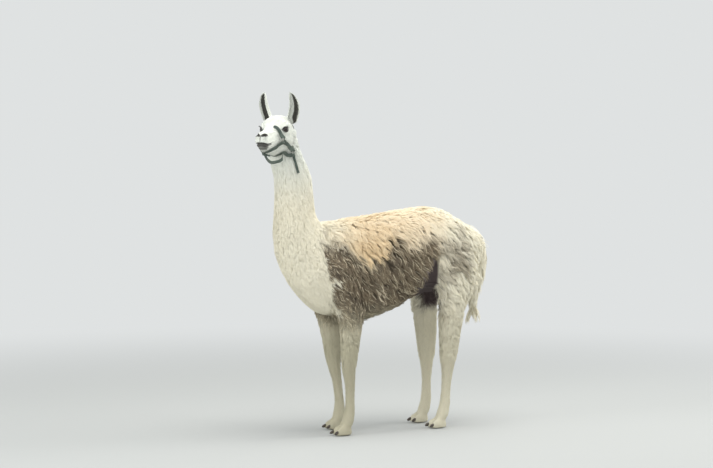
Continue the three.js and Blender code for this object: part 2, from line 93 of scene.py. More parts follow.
lamp("overhead", (0.8, 0.6, 4.6), (0.0, 0.0, 0.9), 3.4, 128.0, (1.0, 0.99, 0.96))
lamp("fill", (4.6, -4.6, 2.4), (0.0, -0.1, 1.0), 3.4, 60.0, (0.99, 1.0, 1.0))
lamp("front_edge", (0.2, -6.4, 3.0), (0.0, -0.5, 1.1), 2.6, 112.0, (0.98, 1.0, 0.99))
lamp("rear_edge", (1.6, 5.6, 3.0), (0.0, 0.5, 0.9), 2.6, 90.0, (1.0, 1.0, 0.98))


class Wire:
    """One socket in a material's node tree, with sums written as sums."""

    def __init__(self, tree, socket=None):
        self.tree, self.socket = tree, socket

    def node(self, kind, settings=None, sockets=None, out=0):
        """Adds a node: its settings first, a ramp's stops among them, and then its sockets."""
        made = self.tree.nodes.new(kind)
        for key, value in (settings or {}).items():
            if key == "stops":
                while len(made.color_ramp.elements) < len(value):
                    made.color_ramp.elements.new(0.5)
                for stop, (place, colour) in zip(made.color_ramp.elements, value):
                    stop.position, stop.color = place, (*colour, 1.0)
            else:
                setattr(made, key, value)
        for key, value in (sockets or {}).items():
            if isinstance(value, Wire):
                self.tree.links.new(value.socket, made.inputs[key])
            else:
                made.inputs[key].default_value = value
        return Wire(self.tree, made.outputs[out])

    def maths(self, operation, *terms):
        return self.node("ShaderNodeMath", {"operation": operation}, dict(enumerate(terms)))

    def __add__(self, other): return self.maths("ADD", self, other)
    def __radd__(self, other): return self.maths("ADD", other, self)
    def __sub__(self, other): return self.maths("SUBTRACT", self, other)
    def __rsub__(self, other): return self.maths("SUBTRACT", other, self)
    def __mul__(self, other): return self.maths("MULTIPLY", self, other)
    def __rmul__(self, other): return self.maths("MULTIPLY", other, self)
    def __abs__(self): return self.maths("ABSOLUTE", self)

    def at_most(self, limit):
        return self.maths("MINIMUM", self, limit)

    def rise(self, low, high):
        """0 below low and 1 above high, with a soft step between."""
        sockets = {"Value": self, "From Min": low, "From Max": high}
        return self.node("ShaderNodeMapRange", {"interpolation_type": "SMOOTHSTEP"}, sockets)

    def blend(self, first, second):
        """The colour first where this wire is 0 and second where it is 1."""
        colours = {0: self}
        for key, value in ((6, first), (7, second)):
            colours[key] = value if isinstance(value, Wire) else (*value, 1.0)
        return self.node("ShaderNodeMix", {"data_type": "RGBA"}, colours, out=2)

    def tint(self, shade):
        """This colour multiplied by the number shade."""
        scaled = {0: self, "Scale": shade}
        return self.node("ShaderNodeVectorMath", {"operation": "SCALE"}, scaled)

    def stretched(self, x, y, z):
        """This vector multiplied along each axis."""
        product = {0: self, 1: (x, y, z)}
        return self.node("ShaderNodeVectorMath", {"operation": "MULTIPLY"}, product)

    def parts(self):
        """The x, y and z of this vector."""
        return [self.node("ShaderNodeSeparateXYZ", None, {0: self}, out=k) for k in range(3)]

    def noise(self, scale, detail=3.0, roughness=0.55):
        sockets = {"Vector": self, "Scale": scale, "Detail": detail, "Roughness": roughness}
        return self.node("ShaderNodeTexNoise", None, sockets)


def paint(red, green, blue):
    """A colour from its 0 to 255 screen values, in the linear form that a shader takes."""
    return tuple((v / 255 / 12.92) if v < 11 else ((v / 255 + 0.055) / 1.055) ** 2.4
                 for v in (red, green, blue))


def finish(name, roughness, **uniform):
    """A new material: its node tree as a wire, its shader, and uniform values on the shader."""
    material = bpy.data.materials.new(name)
    material.use_nodes = True
    shader = material.node_tree.nodes["Principled BSDF"]
    shader.inputs["Roughness"].default_value = roughness
    for key, value in uniform.items():
        shader.inputs[key.replace("_", " ")].default_value = value
    return material, Wire(material.node_tree), shader


def plug(wire, shader, socket):
    wire.tree.links.new(wire.socket, shader.inputs[socket])


def mesh_of(part, name):
    """A bmesh that is done with, as a mesh."""
    mesh = bpy.data.meshes.new(name)
    part.to_mesh(mesh)
    part.free()
    return mesh


FLOOR_RADIUS = 60.0
FLOOR_GREY = (0.50, 0.51, 0.50)
FADE_FROM, FADE_TO = 1.6, 6.0

ground = bmesh.new()
bmesh.ops.create_circle(ground, cap_ends=True, segments=96, radius=FLOOR_RADIUS)
floor_mesh = mesh_of(ground, "floor")
floor = bpy.data.objects.new("floor", floor_mesh)
scene.collection.objects.link(floor)
floor_material, nodes, shader = finish("pale_floor", 0.85)
shader.inputs["Base Color"].default_value = (*FLOOR_GREY, 1.0)
spread = nodes.node("ShaderNodeTexCoord", out=3)
reach = spread.node("ShaderNodeVectorMath", {"operation": "LENGTH"}, {0: spread}, out=1)
glow = nodes.node("ShaderNodeEmission", None, {"Color": (*BACKDROP, 1.0), "Strength": 1.0})
floor_surface = Wire(nodes.tree, shader.outputs[0])
faded = nodes.node("ShaderNodeMixShader", None,
                   {0: reach.rise(FADE_FROM, FADE_TO), 1: floor_surface, 2: glow})
nodes.tree.links.new(faded.socket, nodes.tree.nodes["Material Output"].inputs["Surface"])
floor_mesh.materials.append(floor_material)

# ---------------------------------------------------------------------------------------------
# Skin: one closed hide over the whole animal. The CAD's flesh is copied, closed over its cuts
# by a voxel skin and sunk by the depth of wool that each place carries.

SIDES = (("left", 1.0), ("right", -1.0))
SKULL = ["head", "lower_jaw", "ear_left", "ear_right"]
LEGS = [f"{end}_{side}_{part}" for end in ("front", "hind") for side, _ in SIDES
        for part in ("upper", "cannon", "foot")]
BODY = ["trunk", "neck", "tail"] + LEGS
FLESH = BODY + SKULL
BODY_SWELL, HEAD_SWELL = 0.005, 0.0015
BODY_VOXEL, HEAD_VOXEL = 0.0062, 0.0028
BODY_TRIANGLES = 72000
JOIN_HEIGHT, JOIN_GAP = 1.395, 0.004

eye_centres = {}
for side, _ in SIDES:
    low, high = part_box("eye_" + side)
    eye_centres[side] = (low + high) / 2
head_left = (eye_centres["left"] - eye_centres["right"]).normalized()
HEAD_TIP = math.radians(3)
level_forward = Vector((head_left.y, -head_left.x, 0.0))
head_forward = level_forward * math.cos(HEAD_TIP) + Vector((0, 0, math.sin(HEAD_TIP)))
head_forward.normalize()
head_up = head_forward.cross(-head_left).normalized()
if head_up.z < 0:
    head_up.negate()
EYE_FORWARD, EYE_UP = 0.124, 0.084
between_eyes = (eye_centres["left"] + eye_centres["right"]) / 2
head_origin = between_eyes - head_forward * EYE_FORWARD - head_up * EYE_UP
HEAD_AXES = np.array([head_forward, head_left, head_up])


def to_head(points):
    """Places in the head's own axes: forward, left and up from the middle of the mouth's line."""
    return (np.asarray(points) - np.array(head_origin)) @ HEAD_AXES.T


def from_head(points):
    return np.asarray(points) @ HEAD_AXES + np.array(head_origin)


def closed_copy(names, swell):
    """The named nodes in one bmesh, merged and swollen so that the cuts between them close."""
    shell = bmesh.new()
    for name in names:
        shell.from_mesh(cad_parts[name].data)
    bmesh.ops.remove_doubles(shell, verts=shell.verts, dist=1e-5)
    shell.normal_update()
    moves = [vert.normal * swell for vert in shell.verts]
    for vert, shift in zip(shell.verts, moves):
        vert.co += shift
    return shell


def modified(mesh, kind, **settings):
    """The mesh after one modifier."""
    holder = bpy.data.objects.new("holder", mesh)
    scene.collection.objects.link(holder)
    change = holder.modifiers.new(kind, kind)
    for key, value in settings.items():
        setattr(change, key, value)
    graph = bpy.context.evaluated_depsgraph_get()
    made = bpy.data.meshes.new_from_object(holder.evaluated_get(graph))
    bpy.data.objects.remove(holder)
    return made


def read(layer, field, width, kind=np.float32):
    """One field of all of a mesh's vertices, edges, loops or faces, as rows."""
    data = np.empty(len(layer) * width, kind)
    layer.foreach_get(field, data)
    return data.reshape(-1, width) if width > 1 else data


def move(mesh, points):
    """Puts the mesh's vertices at the points."""
    mesh.vertices.foreach_set("co", points.astype(np.float32).ravel())
    mesh.update()


def note(mesh, name, values):
    """Keeps a number or a vector for each vertex, as an attribute of the mesh."""
    kind, field = ("FLOAT", "value") if values.ndim == 1 else ("FLOAT_VECTOR", "vector")
    layer = mesh.attributes.new(name, kind, "POINT")
    layer.data.foreach_set(field, values.astype(np.float32).ravel())


def piece_of(mesh, slot, *replaced):
    """A piece of the body made of the mesh, shaded smooth, in place of the CAD's nodes."""
    mesh.polygons.foreach_set("use_smooth", np.ones(len(mesh.polygons), bool))
    piece = bpy.data.objects.new(mesh.name, mesh)
    scene.collection.objects.link(piece)
    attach(piece, "root")
    if replaced:
        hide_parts(*replaced)
    return piece


def relaxed(values, edges, rounds, share=0.5):
    """Each vertex's value drawn towards the mean of its neighbours', a number of times."""
    count = len(values)
    ends = np.concatenate([edges[:, 0], edges[:, 1]])
    others = np.concatenate([edges[:, 1], edges[:, 0]])
    degree = np.maximum(np.bincount(ends, minlength=count), 1)
    flat = values.reshape(count, -1).astype(np.float64)
    for _ in range(rounds):
        mean = np.stack([np.bincount(ends, flat[others, k], count) for k in range(flat.shape[1])], 1)
        flat += share * (mean / degree[:, None] - flat)
    return flat.reshape(values.shape)


def soft_step(values, low, high):
    """0 below low and 1 above high, with a soft step between."""
    t = np.clip((values - low) / (high - low), 0.0, 1.0)
    return t * t * (3 - 2 * t)


WOOL_DEPTH = {"trunk": 0.031, "neck": 0.011, "tail": 0.014, "upper": 0.013, "cannon": 0.006,
              "foot": 0.003, "head": 0.004, "jaw": 0.004, "ear": 0.0017}
CHEST_WOOL = 0.012
NAPE_WOOL = 0.009
BARE_WOOL = 0.006
LEG_HEIGHTS, LEG_WOOL = (0.06, 0.20, 0.34, 0.52), (0.003, 0.0050, 0.0075, 0.013)
LEG_TOP = 0.56
GROIN_TOP, GROIN_BACK, GROIN_SLANT, GROIN_LEAN = 0.908, 0.304, 0.52, 0.30
GROIN_DEEP = 0.013
EAR_ROUNDS = 9
PRESS_ROUNDS, PRESSED_FROM = 2, 0.02


def fold_front(z):
    """The front edge, at height z, of the bare fold before the thigh, which widens downwards."""
    return GROIN_BACK - GROIN_SLANT * (GROIN_TOP - z)


def fold_back(z):
    """The back edge of the same fold, where the thigh starts."""
    return GROIN_BACK + GROIN_LEAN * (GROIN_TOP - z)


def region_of(node):
    """The word of a flesh node's name that tells its region of the coat."""
    for word in ("ear", "jaw"):
        if word in node:
            return word
    return node.split("_")[-1]


def nearest_nodes(points, names):
    """For each point, the index in names of the CAD node that is nearest to it."""
    corners, faces, owner = [], [], []
    for index, name in enumerate(names):
        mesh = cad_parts[name].data
        start = len(corners)
        corners += [tuple(vert.co) for vert in mesh.vertices]
        faces += [tuple(start + k for k in face.vertices) for face in mesh.polygons]
        owner += [index] * len(mesh.polygons)
    tree = BVHTree.FromPolygons(corners, faces)
    return np.array([owner[tree.find_nearest(Vector(point))[2]] for point in points])


def wool_depth(points, region):
    """How deep the wool lies over each point: its region's depth, changed where parts meet."""
    x, y, z = points.T
    depth = np.array([WOOL_DEPTH[word] for word in region])
    thigh = soft_step(z, 0.52, 0.80) * (region == "upper")
    depth += (WOOL_DEPTH["trunk"] - depth) * thigh * soft_step(y, -0.25, -0.12)
    tapered = np.interp(z, LEG_HEIGHTS, LEG_WOOL)
    lower_leg = np.isin(region, ("upper", "cannon", "foot")) & (z < LEG_TOP)
    depth = np.where(lower_leg, tapered, depth)
    chest = (1 - soft_step(y, -0.28, -0.17)) * (region == "trunk")
    depth -= (WOOL_DEPTH["trunk"] - CHEST_WOOL) * chest
    between = soft_step(y, 0.16, 0.26) * (1 - soft_step(np.abs(x), 0.05, 0.10))
    between *= 1 - soft_step(z, 0.84, 0.92)
    depth += (BARE_WOOL - depth) * between * (y < 0.5)
    pocket = soft_step(y - fold_front(z), -0.01, 0.03) * soft_step(z, 0.58, 0.66)
    pocket *= 1 - soft_step(y - fold_back(z), -0.03, 0.004)
    depth += GROIN_DEEP * pocket * (z < GROIN_TOP)
    nape = soft_step(z, 1.22, 1.42) * (region == "neck")
    return depth + (NAPE_WOOL - depth) * nape


def sink(mesh, names, swell, steps, smooth):
    """Moves a skin inwards by its wool's depth, in small steps that stay smooth. A point that is
    left too near the old surface, as in a narrow cleft, is then pressed down to its depth."""
    points = read(mesh.vertices, "co", 3).astype(np.float64)
    edges = read(mesh.edges, "vertices", 2, np.int32)
    region = np.array([region_of(name) for name in names])[nearest_nodes(points, names)]
    depth = relaxed(wool_depth(points, region), edges, smooth)
    note(mesh, "depth", depth)
    outer = BVHTree.FromPolygons([tuple(p) for p in points], [tuple(f.vertices) for f in mesh.polygons])
    ears = relaxed((region == "ear").astype(float), edges, 3)
    for _ in range(EAR_ROUNDS if ears.any() else 0):
        points += (relaxed(points, edges, 1, 0.5) - points) * ears[:, None]
    for _ in range(steps):
        move(mesh, points)
        normals = read(mesh.vertex_normals, "vector", 3)
        points -= normals * (depth + swell)[:, None] / steps
        points = relaxed(points, edges, 1, 0.35)
    for _ in range(PRESS_ROUNDS):
        for k in np.nonzero(depth > PRESSED_FROM)[0]:
            hit, normal, _, far = outer.find_nearest(points[k])
            if far < 0.75 * (depth[k] + swell):
                points[k] = hit - normal * 0.9 * (depth[k] + swell)
        points = relaxed(points, edges, 3, 0.4)
    move(mesh, points)


def tree_of(points, faces):
    """A tree that finds the nearest place on the faces."""
    return BVHTree.FromPolygons(points.tolist(), faces.tolist())


def cut_at(mesh, height, keep_above):
    """The mesh as a bmesh, cut level at height with the other part thrown away."""
    part = bmesh.new()
    part.from_mesh(mesh)
    everything = part.verts[:] + part.edges[:] + part.faces[:]
    bmesh.ops.bisect_plane(part, geom=everything, dist=1e-6, plane_co=(0, 0, height),
                           plane_no=(0, 0, 1), clear_inner=keep_above, clear_outer=not keep_above)
    return part


EYEBALL, EYE_SINK, EYE_COVER = 0.0186, 0.0055, 0.0045
GAZE_FORWARD, GAZE_ASIDE = 0.55, 0.83
GAZE = {side: np.array([GAZE_FORWARD, sign * GAZE_ASIDE, 0.0]) for side, sign in SIDES}
NASAL = {side: np.array([GAZE_ASIDE, -sign * GAZE_FORWARD, 0.0]) for side, sign in SIDES}


def eye_place(side):
    """The middle of one eyeball: the CAD's, set a little deeper in the head."""
    inward = -head_left if side == "left" else head_left
    return eye_centres[side] + inward * EYE_SINK


body_skin = mesh_of(closed_copy(BODY, BODY_SWELL), "rough")
body_skin = modified(body_skin, "REMESH", mode="VOXEL", voxel_size=BODY_VOXEL)
sink(body_skin, BODY, BODY_SWELL, 8, 12)
body_skin = modified(body_skin, "DECIMATE", ratio=BODY_TRIANGLES / (2 * len(body_skin.polygons)))
head_names = SKULL + ["neck"]
head_shell = closed_copy(head_names, HEAD_SWELL)
for side, _ in SIDES:
    bmesh.ops.create_icosphere(head_shell, subdivisions=4, radius=EYEBALL + EYE_COVER,
                               matrix=Matrix.Translation(eye_place(side)))
head_skin = modified(mesh_of(head_shell, "rough"), "REMESH", mode="VOXEL", voxel_size=HEAD_VOXEL)
sink(head_skin, head_names, HEAD_SWELL, 4, 8)

# ---------------------------------------------------------------------------------------------
# Face: the lids, the slanted nostrils, the split upper lip and the chin, carved into the hide
# of the head. Places are in the head's own axes, forward, left and up.

LID_LONG, LID_HIGH, LID_LOW = 0.0205, 0.0135, 0.0105
NOSTRIL = {"at": (0.275, 0.0205, 0.0515), "along": (-0.70, 0.68, 0.20), "long": 0.0165,
           "wide": 0.0066, "deep": 0.0120, "bare": (1.20, 1.90)}
MOUTH_LINE = ((0.205, 0.017), (0.222, 0.011), (0.242, 0.006), (0.262, 0.004), (0.282, 0.008),
              (0.300, 0.015))
MOUTH_CORNER = 0.209
PHILTRUM = {"front": (0.262, 0.272), "from": (0.008, 0.014), "to": (0.050, 0.062), "deep": 0.0042}
PAIRED_FORMS = {
    "nose_pad": (0.0030, (0.283, 0.012, 0.026), (0.010, 0.009, 0.010)),
    "cheekbone": (0.0050, (0.120, 0.066, 0.034), (0.040, 0.030, 0.012)),
    "cheek_hollow": (-0.0040, (0.168, 0.044, 0.046), (0.024, 0.016, 0.014)),
    "lip_pad": (0.0030, (0.205, 0.040, 0.020), (0.022, 0.016, 0.016)),
    "nose_hollow": (-0.0035, (0.232, 0.028, 0.052), (0.020, 0.012, 0.012)),
}
MIDDLE_FORMS = {
    "chin_groove": (-0.0035, (0.262, 0, -0.020), (0.014, 0.030, 0.006)),
    "chin": (0.0030, (0.262, 0, -0.033), (0.018, 0.018, 0.009)),
}
FINE_SPOTS = [((0.272, 0.0, 0.020), 0.042), ((0.235, 0.03, 0.008), 0.018),
              ((0.235, -0.03, 0.008), 0.018)]


def refine(mesh, spots):
    """Halves the edges within each spot: a place in head axes and a radius."""
    part = bmesh.new()
    part.from_mesh(mesh)
    middles = np.array([(edge.verts[0].co + edge.verts[1].co) / 2 for edge in part.edges])
    local = to_head(middles)
    near = np.zeros(len(local), bool)
    for place, radius in spots:
        near |= ((local - np.array(place)) ** 2).sum(1) < radius ** 2
    part.edges.ensure_lookup_table()
    chosen = [part.edges[k] for k in np.nonzero(near)[0]]
    bmesh.ops.subdivide_edges(part, edges=chosen, cuts=1, use_grid_fill=True)
    bmesh.ops.triangulate(part, faces=[face for face in part.faces if len(face.verts) > 4])
    part.to_mesh(mesh)
    part.free()


def hill(points, place, radii):
    """A soft round mask, 1 at place and nearly 0 twice its radii away."""
    away = ((points - np.array(place)) / np.array(radii)) ** 2
    return np.exp(-away.sum(1))


def unit(rows):
    """Each row as a direction, of length one."""
    return rows / np.maximum(np.linalg.norm(rows, axis=-1, keepdims=True), 1e-9)


def ridge(distance, at, wide):
    """A soft ridge along a line: 1 where the distance is at, and nearly 0 twice wide away."""
    return np.exp(-((distance - at) / wide) ** 2)


eye_spots = [(to_head([eye_place(side)])[0], 0.029) for side, _ in SIDES]
nostril_spots = [((0.276, 0.022 * sign, 0.050), 0.020) for _, sign in SIDES]
refine(head_skin, eye_spots + nostril_spots + FINE_SPOTS)
head_edges = read(head_skin.edges, "vertices", 2, np.int32)
face = to_head(read(head_skin.vertices, "co", 3).astype(np.float64))
bare = np.zeros(len(face))
lid_rim = np.zeros(len(face))


def ease(points, mask, rounds):
    """Relaxes the points where the mask says, and leaves the rest."""
    for _ in range(rounds):
        moved = relaxed(points, head_edges, 1, 0.5)
        points += (moved - points) * mask[:, None]


def surface_normals(points):
    """The head's normals, in its own axes, once its points are where these are."""
    move(head_skin, from_head(points))
    return read(head_skin.vertex_normals, "vector", 3) @ HEAD_AXES.T


nape = 1 - soft_step(face[:, 0], -0.03, 0.01)
ease(face, nape * soft_step(face[:, 2], -0.02, 0.03), 40)
ear_foot = soft_step(face[:, 2], 0.098, 0.112) * (1 - soft_step(face[:, 2], 0.135, 0.160))
ease(face, ear_foot * soft_step(np.abs(face[:, 1]), 0.040, 0.055) * (face[:, 0] < 0.05), 24)
for side, _ in SIDES:
    middle = to_head([eye_place(side)])[0]
    reach = np.linalg.norm(face - middle, axis=1)
    ease(face, 1 - soft_step(reach, 0.030, 0.042), 14)
    away = face - middle
    reach = np.linalg.norm(away, axis=1)
    towards = away / np.maximum(reach, 1e-6)[:, None]
    front = towards @ GAZE[side]
    across = EYEBALL * np.arctan2(towards @ NASAL[side], front)
    high = EYEBALL * np.arcsin(np.clip(towards[:, 2], -1, 1))
    bow = np.clip(1 - (across / LID_LONG) ** 2, 0, 1)
    over = high - LID_HIGH * bow ** 0.6
    under = -LID_LOW * bow ** 0.75 - high
    outside = np.maximum(np.maximum(over, under), np.abs(across) - LID_LONG)
    close = (front > 0.05) & (reach < 0.034)
    opening = close & (outside < 0)
    upper = soft_step(high, -0.003, 0.004)
    # The lid over the ball, its rolled rim, the crease round it, the brow and the pouch below.
    lid = np.maximum(reach, EYEBALL + 0.0017)
    lid += 0.0009 * ridge(outside, 0.0020, 0.0014)
    lid -= (0.0006 + 0.0010 * upper) * ridge(outside, 0.0066, 0.0016)
    lid += 0.0042 * upper * ridge(outside, 0.0150, 0.0055)
    lid += 0.0012 * (1 - upper) * ridge(outside, 0.0120, 0.0050)
    socket = EYEBALL - 0.0035 * soft_step(-outside, 0.0, 0.0012)
    lid = np.where(opening, socket, lid)
    blend = close * soft_step(front, 0.05, 0.30)
    face += towards * ((lid - reach) * blend)[:, None]
    lid_rim = np.maximum(lid_rim, close * (1 - soft_step(outside, 0.0022, 0.0042)))


def lip_split(points):
    """Where the groove from the nose down through the upper lip runs, fading at its ends."""
    front = soft_step(points[:, 0], *PHILTRUM["front"])
    return front * (1 - soft_step(points[:, 2], *PHILTRUM["to"]))


normals = surface_normals(face)
push = np.zeros(len(face))
for _, sign in SIDES:
    mirror = np.array([1, sign, 1])
    along = unit(np.array(NOSTRIL["along"]) * mirror)
    away = face - np.array(NOSTRIL["at"]) * mirror
    t = away @ along
    rest = away - t[:, None] * along
    flat = rest - (rest * normals).sum(1)[:, None] * normals
    wide = np.linalg.norm(flat, axis=1)
    ring = np.sqrt((t / NOSTRIL["long"]) ** 2 + (wide / NOSTRIL["wide"]) ** 2)
    near = (away ** 2).sum(1) < 0.03 ** 2
    push -= near * NOSTRIL["deep"] * np.clip(1 - ring ** 2, 0, 1) ** 0.7
    push += near * 0.0024 * ridge(ring, 1.6, 0.42)
    bare = np.maximum(bare, near * (1 - soft_step(ring, *NOSTRIL["bare"])))
    for size, spot, radii in PAIRED_FORMS.values():
        push += size * hill(face, np.array(spot) * mirror, radii)
for size, spot, radii in MIDDLE_FORMS.values():
    push += size * hill(face, spot, radii)

# x, y and z are views of the face, and move with it.
x, y, z = face.T
groove = ridge(y, 0, 0.0026) * lip_split(face) * soft_step(z, *PHILTRUM["from"])
push -= PHILTRUM["deep"] * groove
over_line = z - np.interp(x, *np.array(MOUTH_LINE).T)
lips = soft_step(x, MOUTH_CORNER - 0.006, MOUTH_CORNER + 0.012)
push -= 0.0062 * lips * ridge(over_line, -0.0005, 0.0026)
push += 0.0022 * lips * ridge(over_line, 0.0080, 0.0050)
push += 0.0012 * lips * ridge(over_line, -0.0095, 0.0050)
face += normals * push[:, None]
bare_groove = ridge(y, 0, 0.0045) * lip_split(face) * soft_step(z, 0.012, 0.02)
bare = np.maximum(bare, 0.6 * bare_groove)
lip_front = soft_step(x, 0.236, 0.272)
from_line = np.abs(over_line + 0.002 + 0.003 * lip_front)
lip_skin = 1 - soft_step(from_line, 0.005 + 0.002 * lip_front, 0.011 + 0.004 * lip_front)
bare = np.maximum(bare, lips * (0.58 + 0.07 * lip_front) * lip_skin)
bare = np.maximum(bare, lid_rim)
ease(face, 0.4 * (1 - lid_rim), 1)
move(head_skin, from_head(face))
note(head_skin, "bare", bare)

# ---------------------------------------------------------------------------------------------
# Hide: the carved head set on the body's skin. Both are cut level through the neck, and the
# two rims are laced together with triangles into one closed mesh, which the coat grows from.

hide = cut_at(body_skin, JOIN_HEIGHT, False)
head_part = cut_at(head_skin, JOIN_HEIGHT + JOIN_GAP, True)
head_part.to_mesh(head_skin)
head_part.free()
hide.from_mesh(head_skin)
rims = {vert for edge in hide.edges if len(edge.link_faces) == 1 for vert in edge.verts}
low_rim = [vert for vert in rims if vert.co.z < JOIN_HEIGHT + JOIN_GAP / 2]
high_rim = [vert for vert in rims if vert.co.z > JOIN_HEIGHT + JOIN_GAP / 2]
middle = sum((vert.co for vert in low_rim), Vector()) / len(low_rim)


def bearing(vert):
    return math.atan2(vert.co.y - middle.y, vert.co.x - middle.x)


low_rim.sort(key=bearing)
high_rim.sort(key=bearing)
low_index = high_index = 0
while low_index < len(low_rim) or high_index < len(high_rim):
    low_here, high_here = (low_rim[low_index % len(low_rim)], high_rim[high_index % len(high_rim)])
    low_next = low_rim[(low_index + 1) % len(low_rim)]
    high_next = high_rim[(high_index + 1) % len(high_rim)]
    low_turn = bearing(low_next) + 2 * math.pi * ((low_index + 1) // len(low_rim))
    high_turn = bearing(high_next) + 2 * math.pi * ((high_index + 1) // len(high_rim))
    if low_index < len(low_rim) and (high_index >= len(high_rim) or low_turn <= high_turn):
        hide.faces.new((low_here, low_next, high_here))
        low_index += 1
    else:
        hide.faces.new((low_here, high_next, high_here))
        high_index += 1
bmesh.ops.triangulate(hide, faces=[face for face in hide.faces if len(face.verts) > 3])
skin_mesh = mesh_of(hide, "skin")
piece_of(skin_mesh, "wool", *FLESH)

# ---------------------------------------------------------------------------------------------
# Halter: dark webbing sewn round four steel rings. The straps lie in the pressed wool of the
# head, a slack length hangs under the jaw and a loose end down the near side of the neck.

points = read(skin_mesh.vertices, "co", 3).astype(np.float64)
normals = read(skin_mesh.vertex_normals, "vector", 3).astype(np.float64)
triangles = read(skin_mesh.loops, "vertex_index", 1, np.int32).reshape(-1, 3)
skin_edges = read(skin_mesh.edges, "vertices", 2, np.int32)
depth = read(skin_mesh.attributes["depth"].data, "value", 1).astype(np.float64)
depth = np.minimum(depth, WOOL_DEPTH["trunk"])
bare = read(skin_mesh.attributes["bare"].data, "value", 1).astype(np.float64)
hide_tree = tree_of(points, triangles)
WEB_WIDE, WEB_THICK = 0.019, 0.0024
WEB_STEP = 0.0035
FOLD_LONG, FOLD_RISE = 0.024, 0.0023
STRAP_GAP, PRESSED_WOOL = 0.0012, 0.8
MIRRORED_STRAPS = {
    "noseband": [(0.150, 0.050, 0.042), (0.154, 0.046, 0.070), (0.163, 0.028, 0.094),
                 (0.167, 0, 0.104)],
    "chin_strap": [(0.154, 0.048, 0.021), (0.170, 0.042, -0.007), (0.196, 0.036, -0.020),
                   (0.228, 0.022, -0.038), (0.236, 0, -0.044)],
    "crown_strap": [(0.040, 0.066, -0.010), (0.028, 0.072, 0.030), (0.014, 0.060, 0.096),
                    (0, 0.032, 0.132), (-0.006, 0, 0.140)],
    "throat_strap": [(0.058, 0.068, -0.042), (0.076, 0.068, -0.050), (0.104, 0.050, -0.052),
                     (0.112, 0, -0.060)],
}
CHEEK_STRAP = [(0.137, 0.053, 0.025), (0.095, 0.072, 0.006), (0.058, 0.070, -0.018)]
JAW_LOOP = [(0.232, 0, -0.050), (0.204, 0.002, -0.066), (0.166, 0.005, -0.082),
            (0.136, 0.020, -0.080), (0.112, 0.042, -0.066), (0.102, 0.060, -0.056)]
LOOSE_END = [(0.036, 0.069, -0.046), (0.024, 0.080, -0.084), (0.010, 0.086, -0.132)]
LOOP_WIDE, END_WIDE = 0.016, 0.013
HIDDEN_LEFT, HIDDEN_RIGHT, HIDDEN_DEEP = 0.022, -0.044, 0.0006
HALTER_FROM, BATCH = 1.38, 4000
STRAP_PRESS, END_PRESS = (0.0105, 0.0150), (0.012, 0.030)


def threaded(knots, step):
    """A smooth curve through the knots, as evenly spaced points."""
    knots = np.array(knots, float)
    ends = np.concatenate([[2 * knots[0] - knots[1]], knots, [2 * knots[-1] - knots[-2]]])
    u = np.linspace(0, 1, 24, endpoint=False)[:, None]
    runs = [0.5 * (2 * b + (c - a) * u + (2 * a - 5 * b + 4 * c - d) * u ** 2
                   + (3 * b - a - 3 * c + d) * u ** 3)
            for a, b, c, d in zip(ends, ends[1:], ends[2:], ends[3:])]
    dense = np.concatenate(runs + [knots[-1:]])
    far = np.append(0, np.cumsum(np.linalg.norm(np.diff(dense, axis=0), axis=1)))
    stops = np.linspace(0, far[-1], max(6, int(far[-1] / step)))
    return np.stack([np.interp(stops, far, dense[:, k]) for k in range(3)], 1)


def evened(rows, rounds):
    """Rows of values, each drawn towards its two neighbours, with both ends kept."""
    for _ in range(rounds):
        rows = rows.copy()
        rows[1:-1] = rows[1:-1] / 2 + (rows[:-2] + rows[2:]) / 4
    return rows


def laid(path, hidden=False):
    """A path brought down onto the hide, over the wool that it presses flat."""
    found = [hide_tree.find_nearest(place) for place in path]
    feet = np.array([hit[0] for hit in found])
    outs = unit(evened(np.array([hit[1] for hit in found]), 6))
    wool = depth[triangles[[hit[2] for hit in found]]].mean(1)
    rise = STRAP_GAP + PRESSED_WOOL * wool
    if hidden:
        aside = to_head(feet)[:, 1]
        top = 1 - soft_step(aside, HIDDEN_LEFT - 0.012, HIDDEN_LEFT)
        top *= soft_step(aside, HIDDEN_RIGHT, HIDDEN_RIGHT + 0.012)
        rise = rise * (1 - top) - HIDDEN_DEEP * top
    return evened(feet + outs * rise[:, None], 4), outs


RING_WIRE, TURN_STEPS = 0.0021, 7
RING_REACH, LEAD = 0.048, 0.020
rings = {}
for node in [f"{part}_ring_{side}" for part in ("cheek", "throat") for side, _ in SIDES]:
    spots = read(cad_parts[node].data.vertices, "co", 3).astype(float)
    middle = sum(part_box(node), Vector()) / 2
    _, _, axes = np.linalg.svd(spots - np.array(middle))
    radius = np.linalg.norm(spots - np.array(middle), axis=1).max() - RING_WIRE
    rings[node] = (np.array(middle), axes[2], radius)


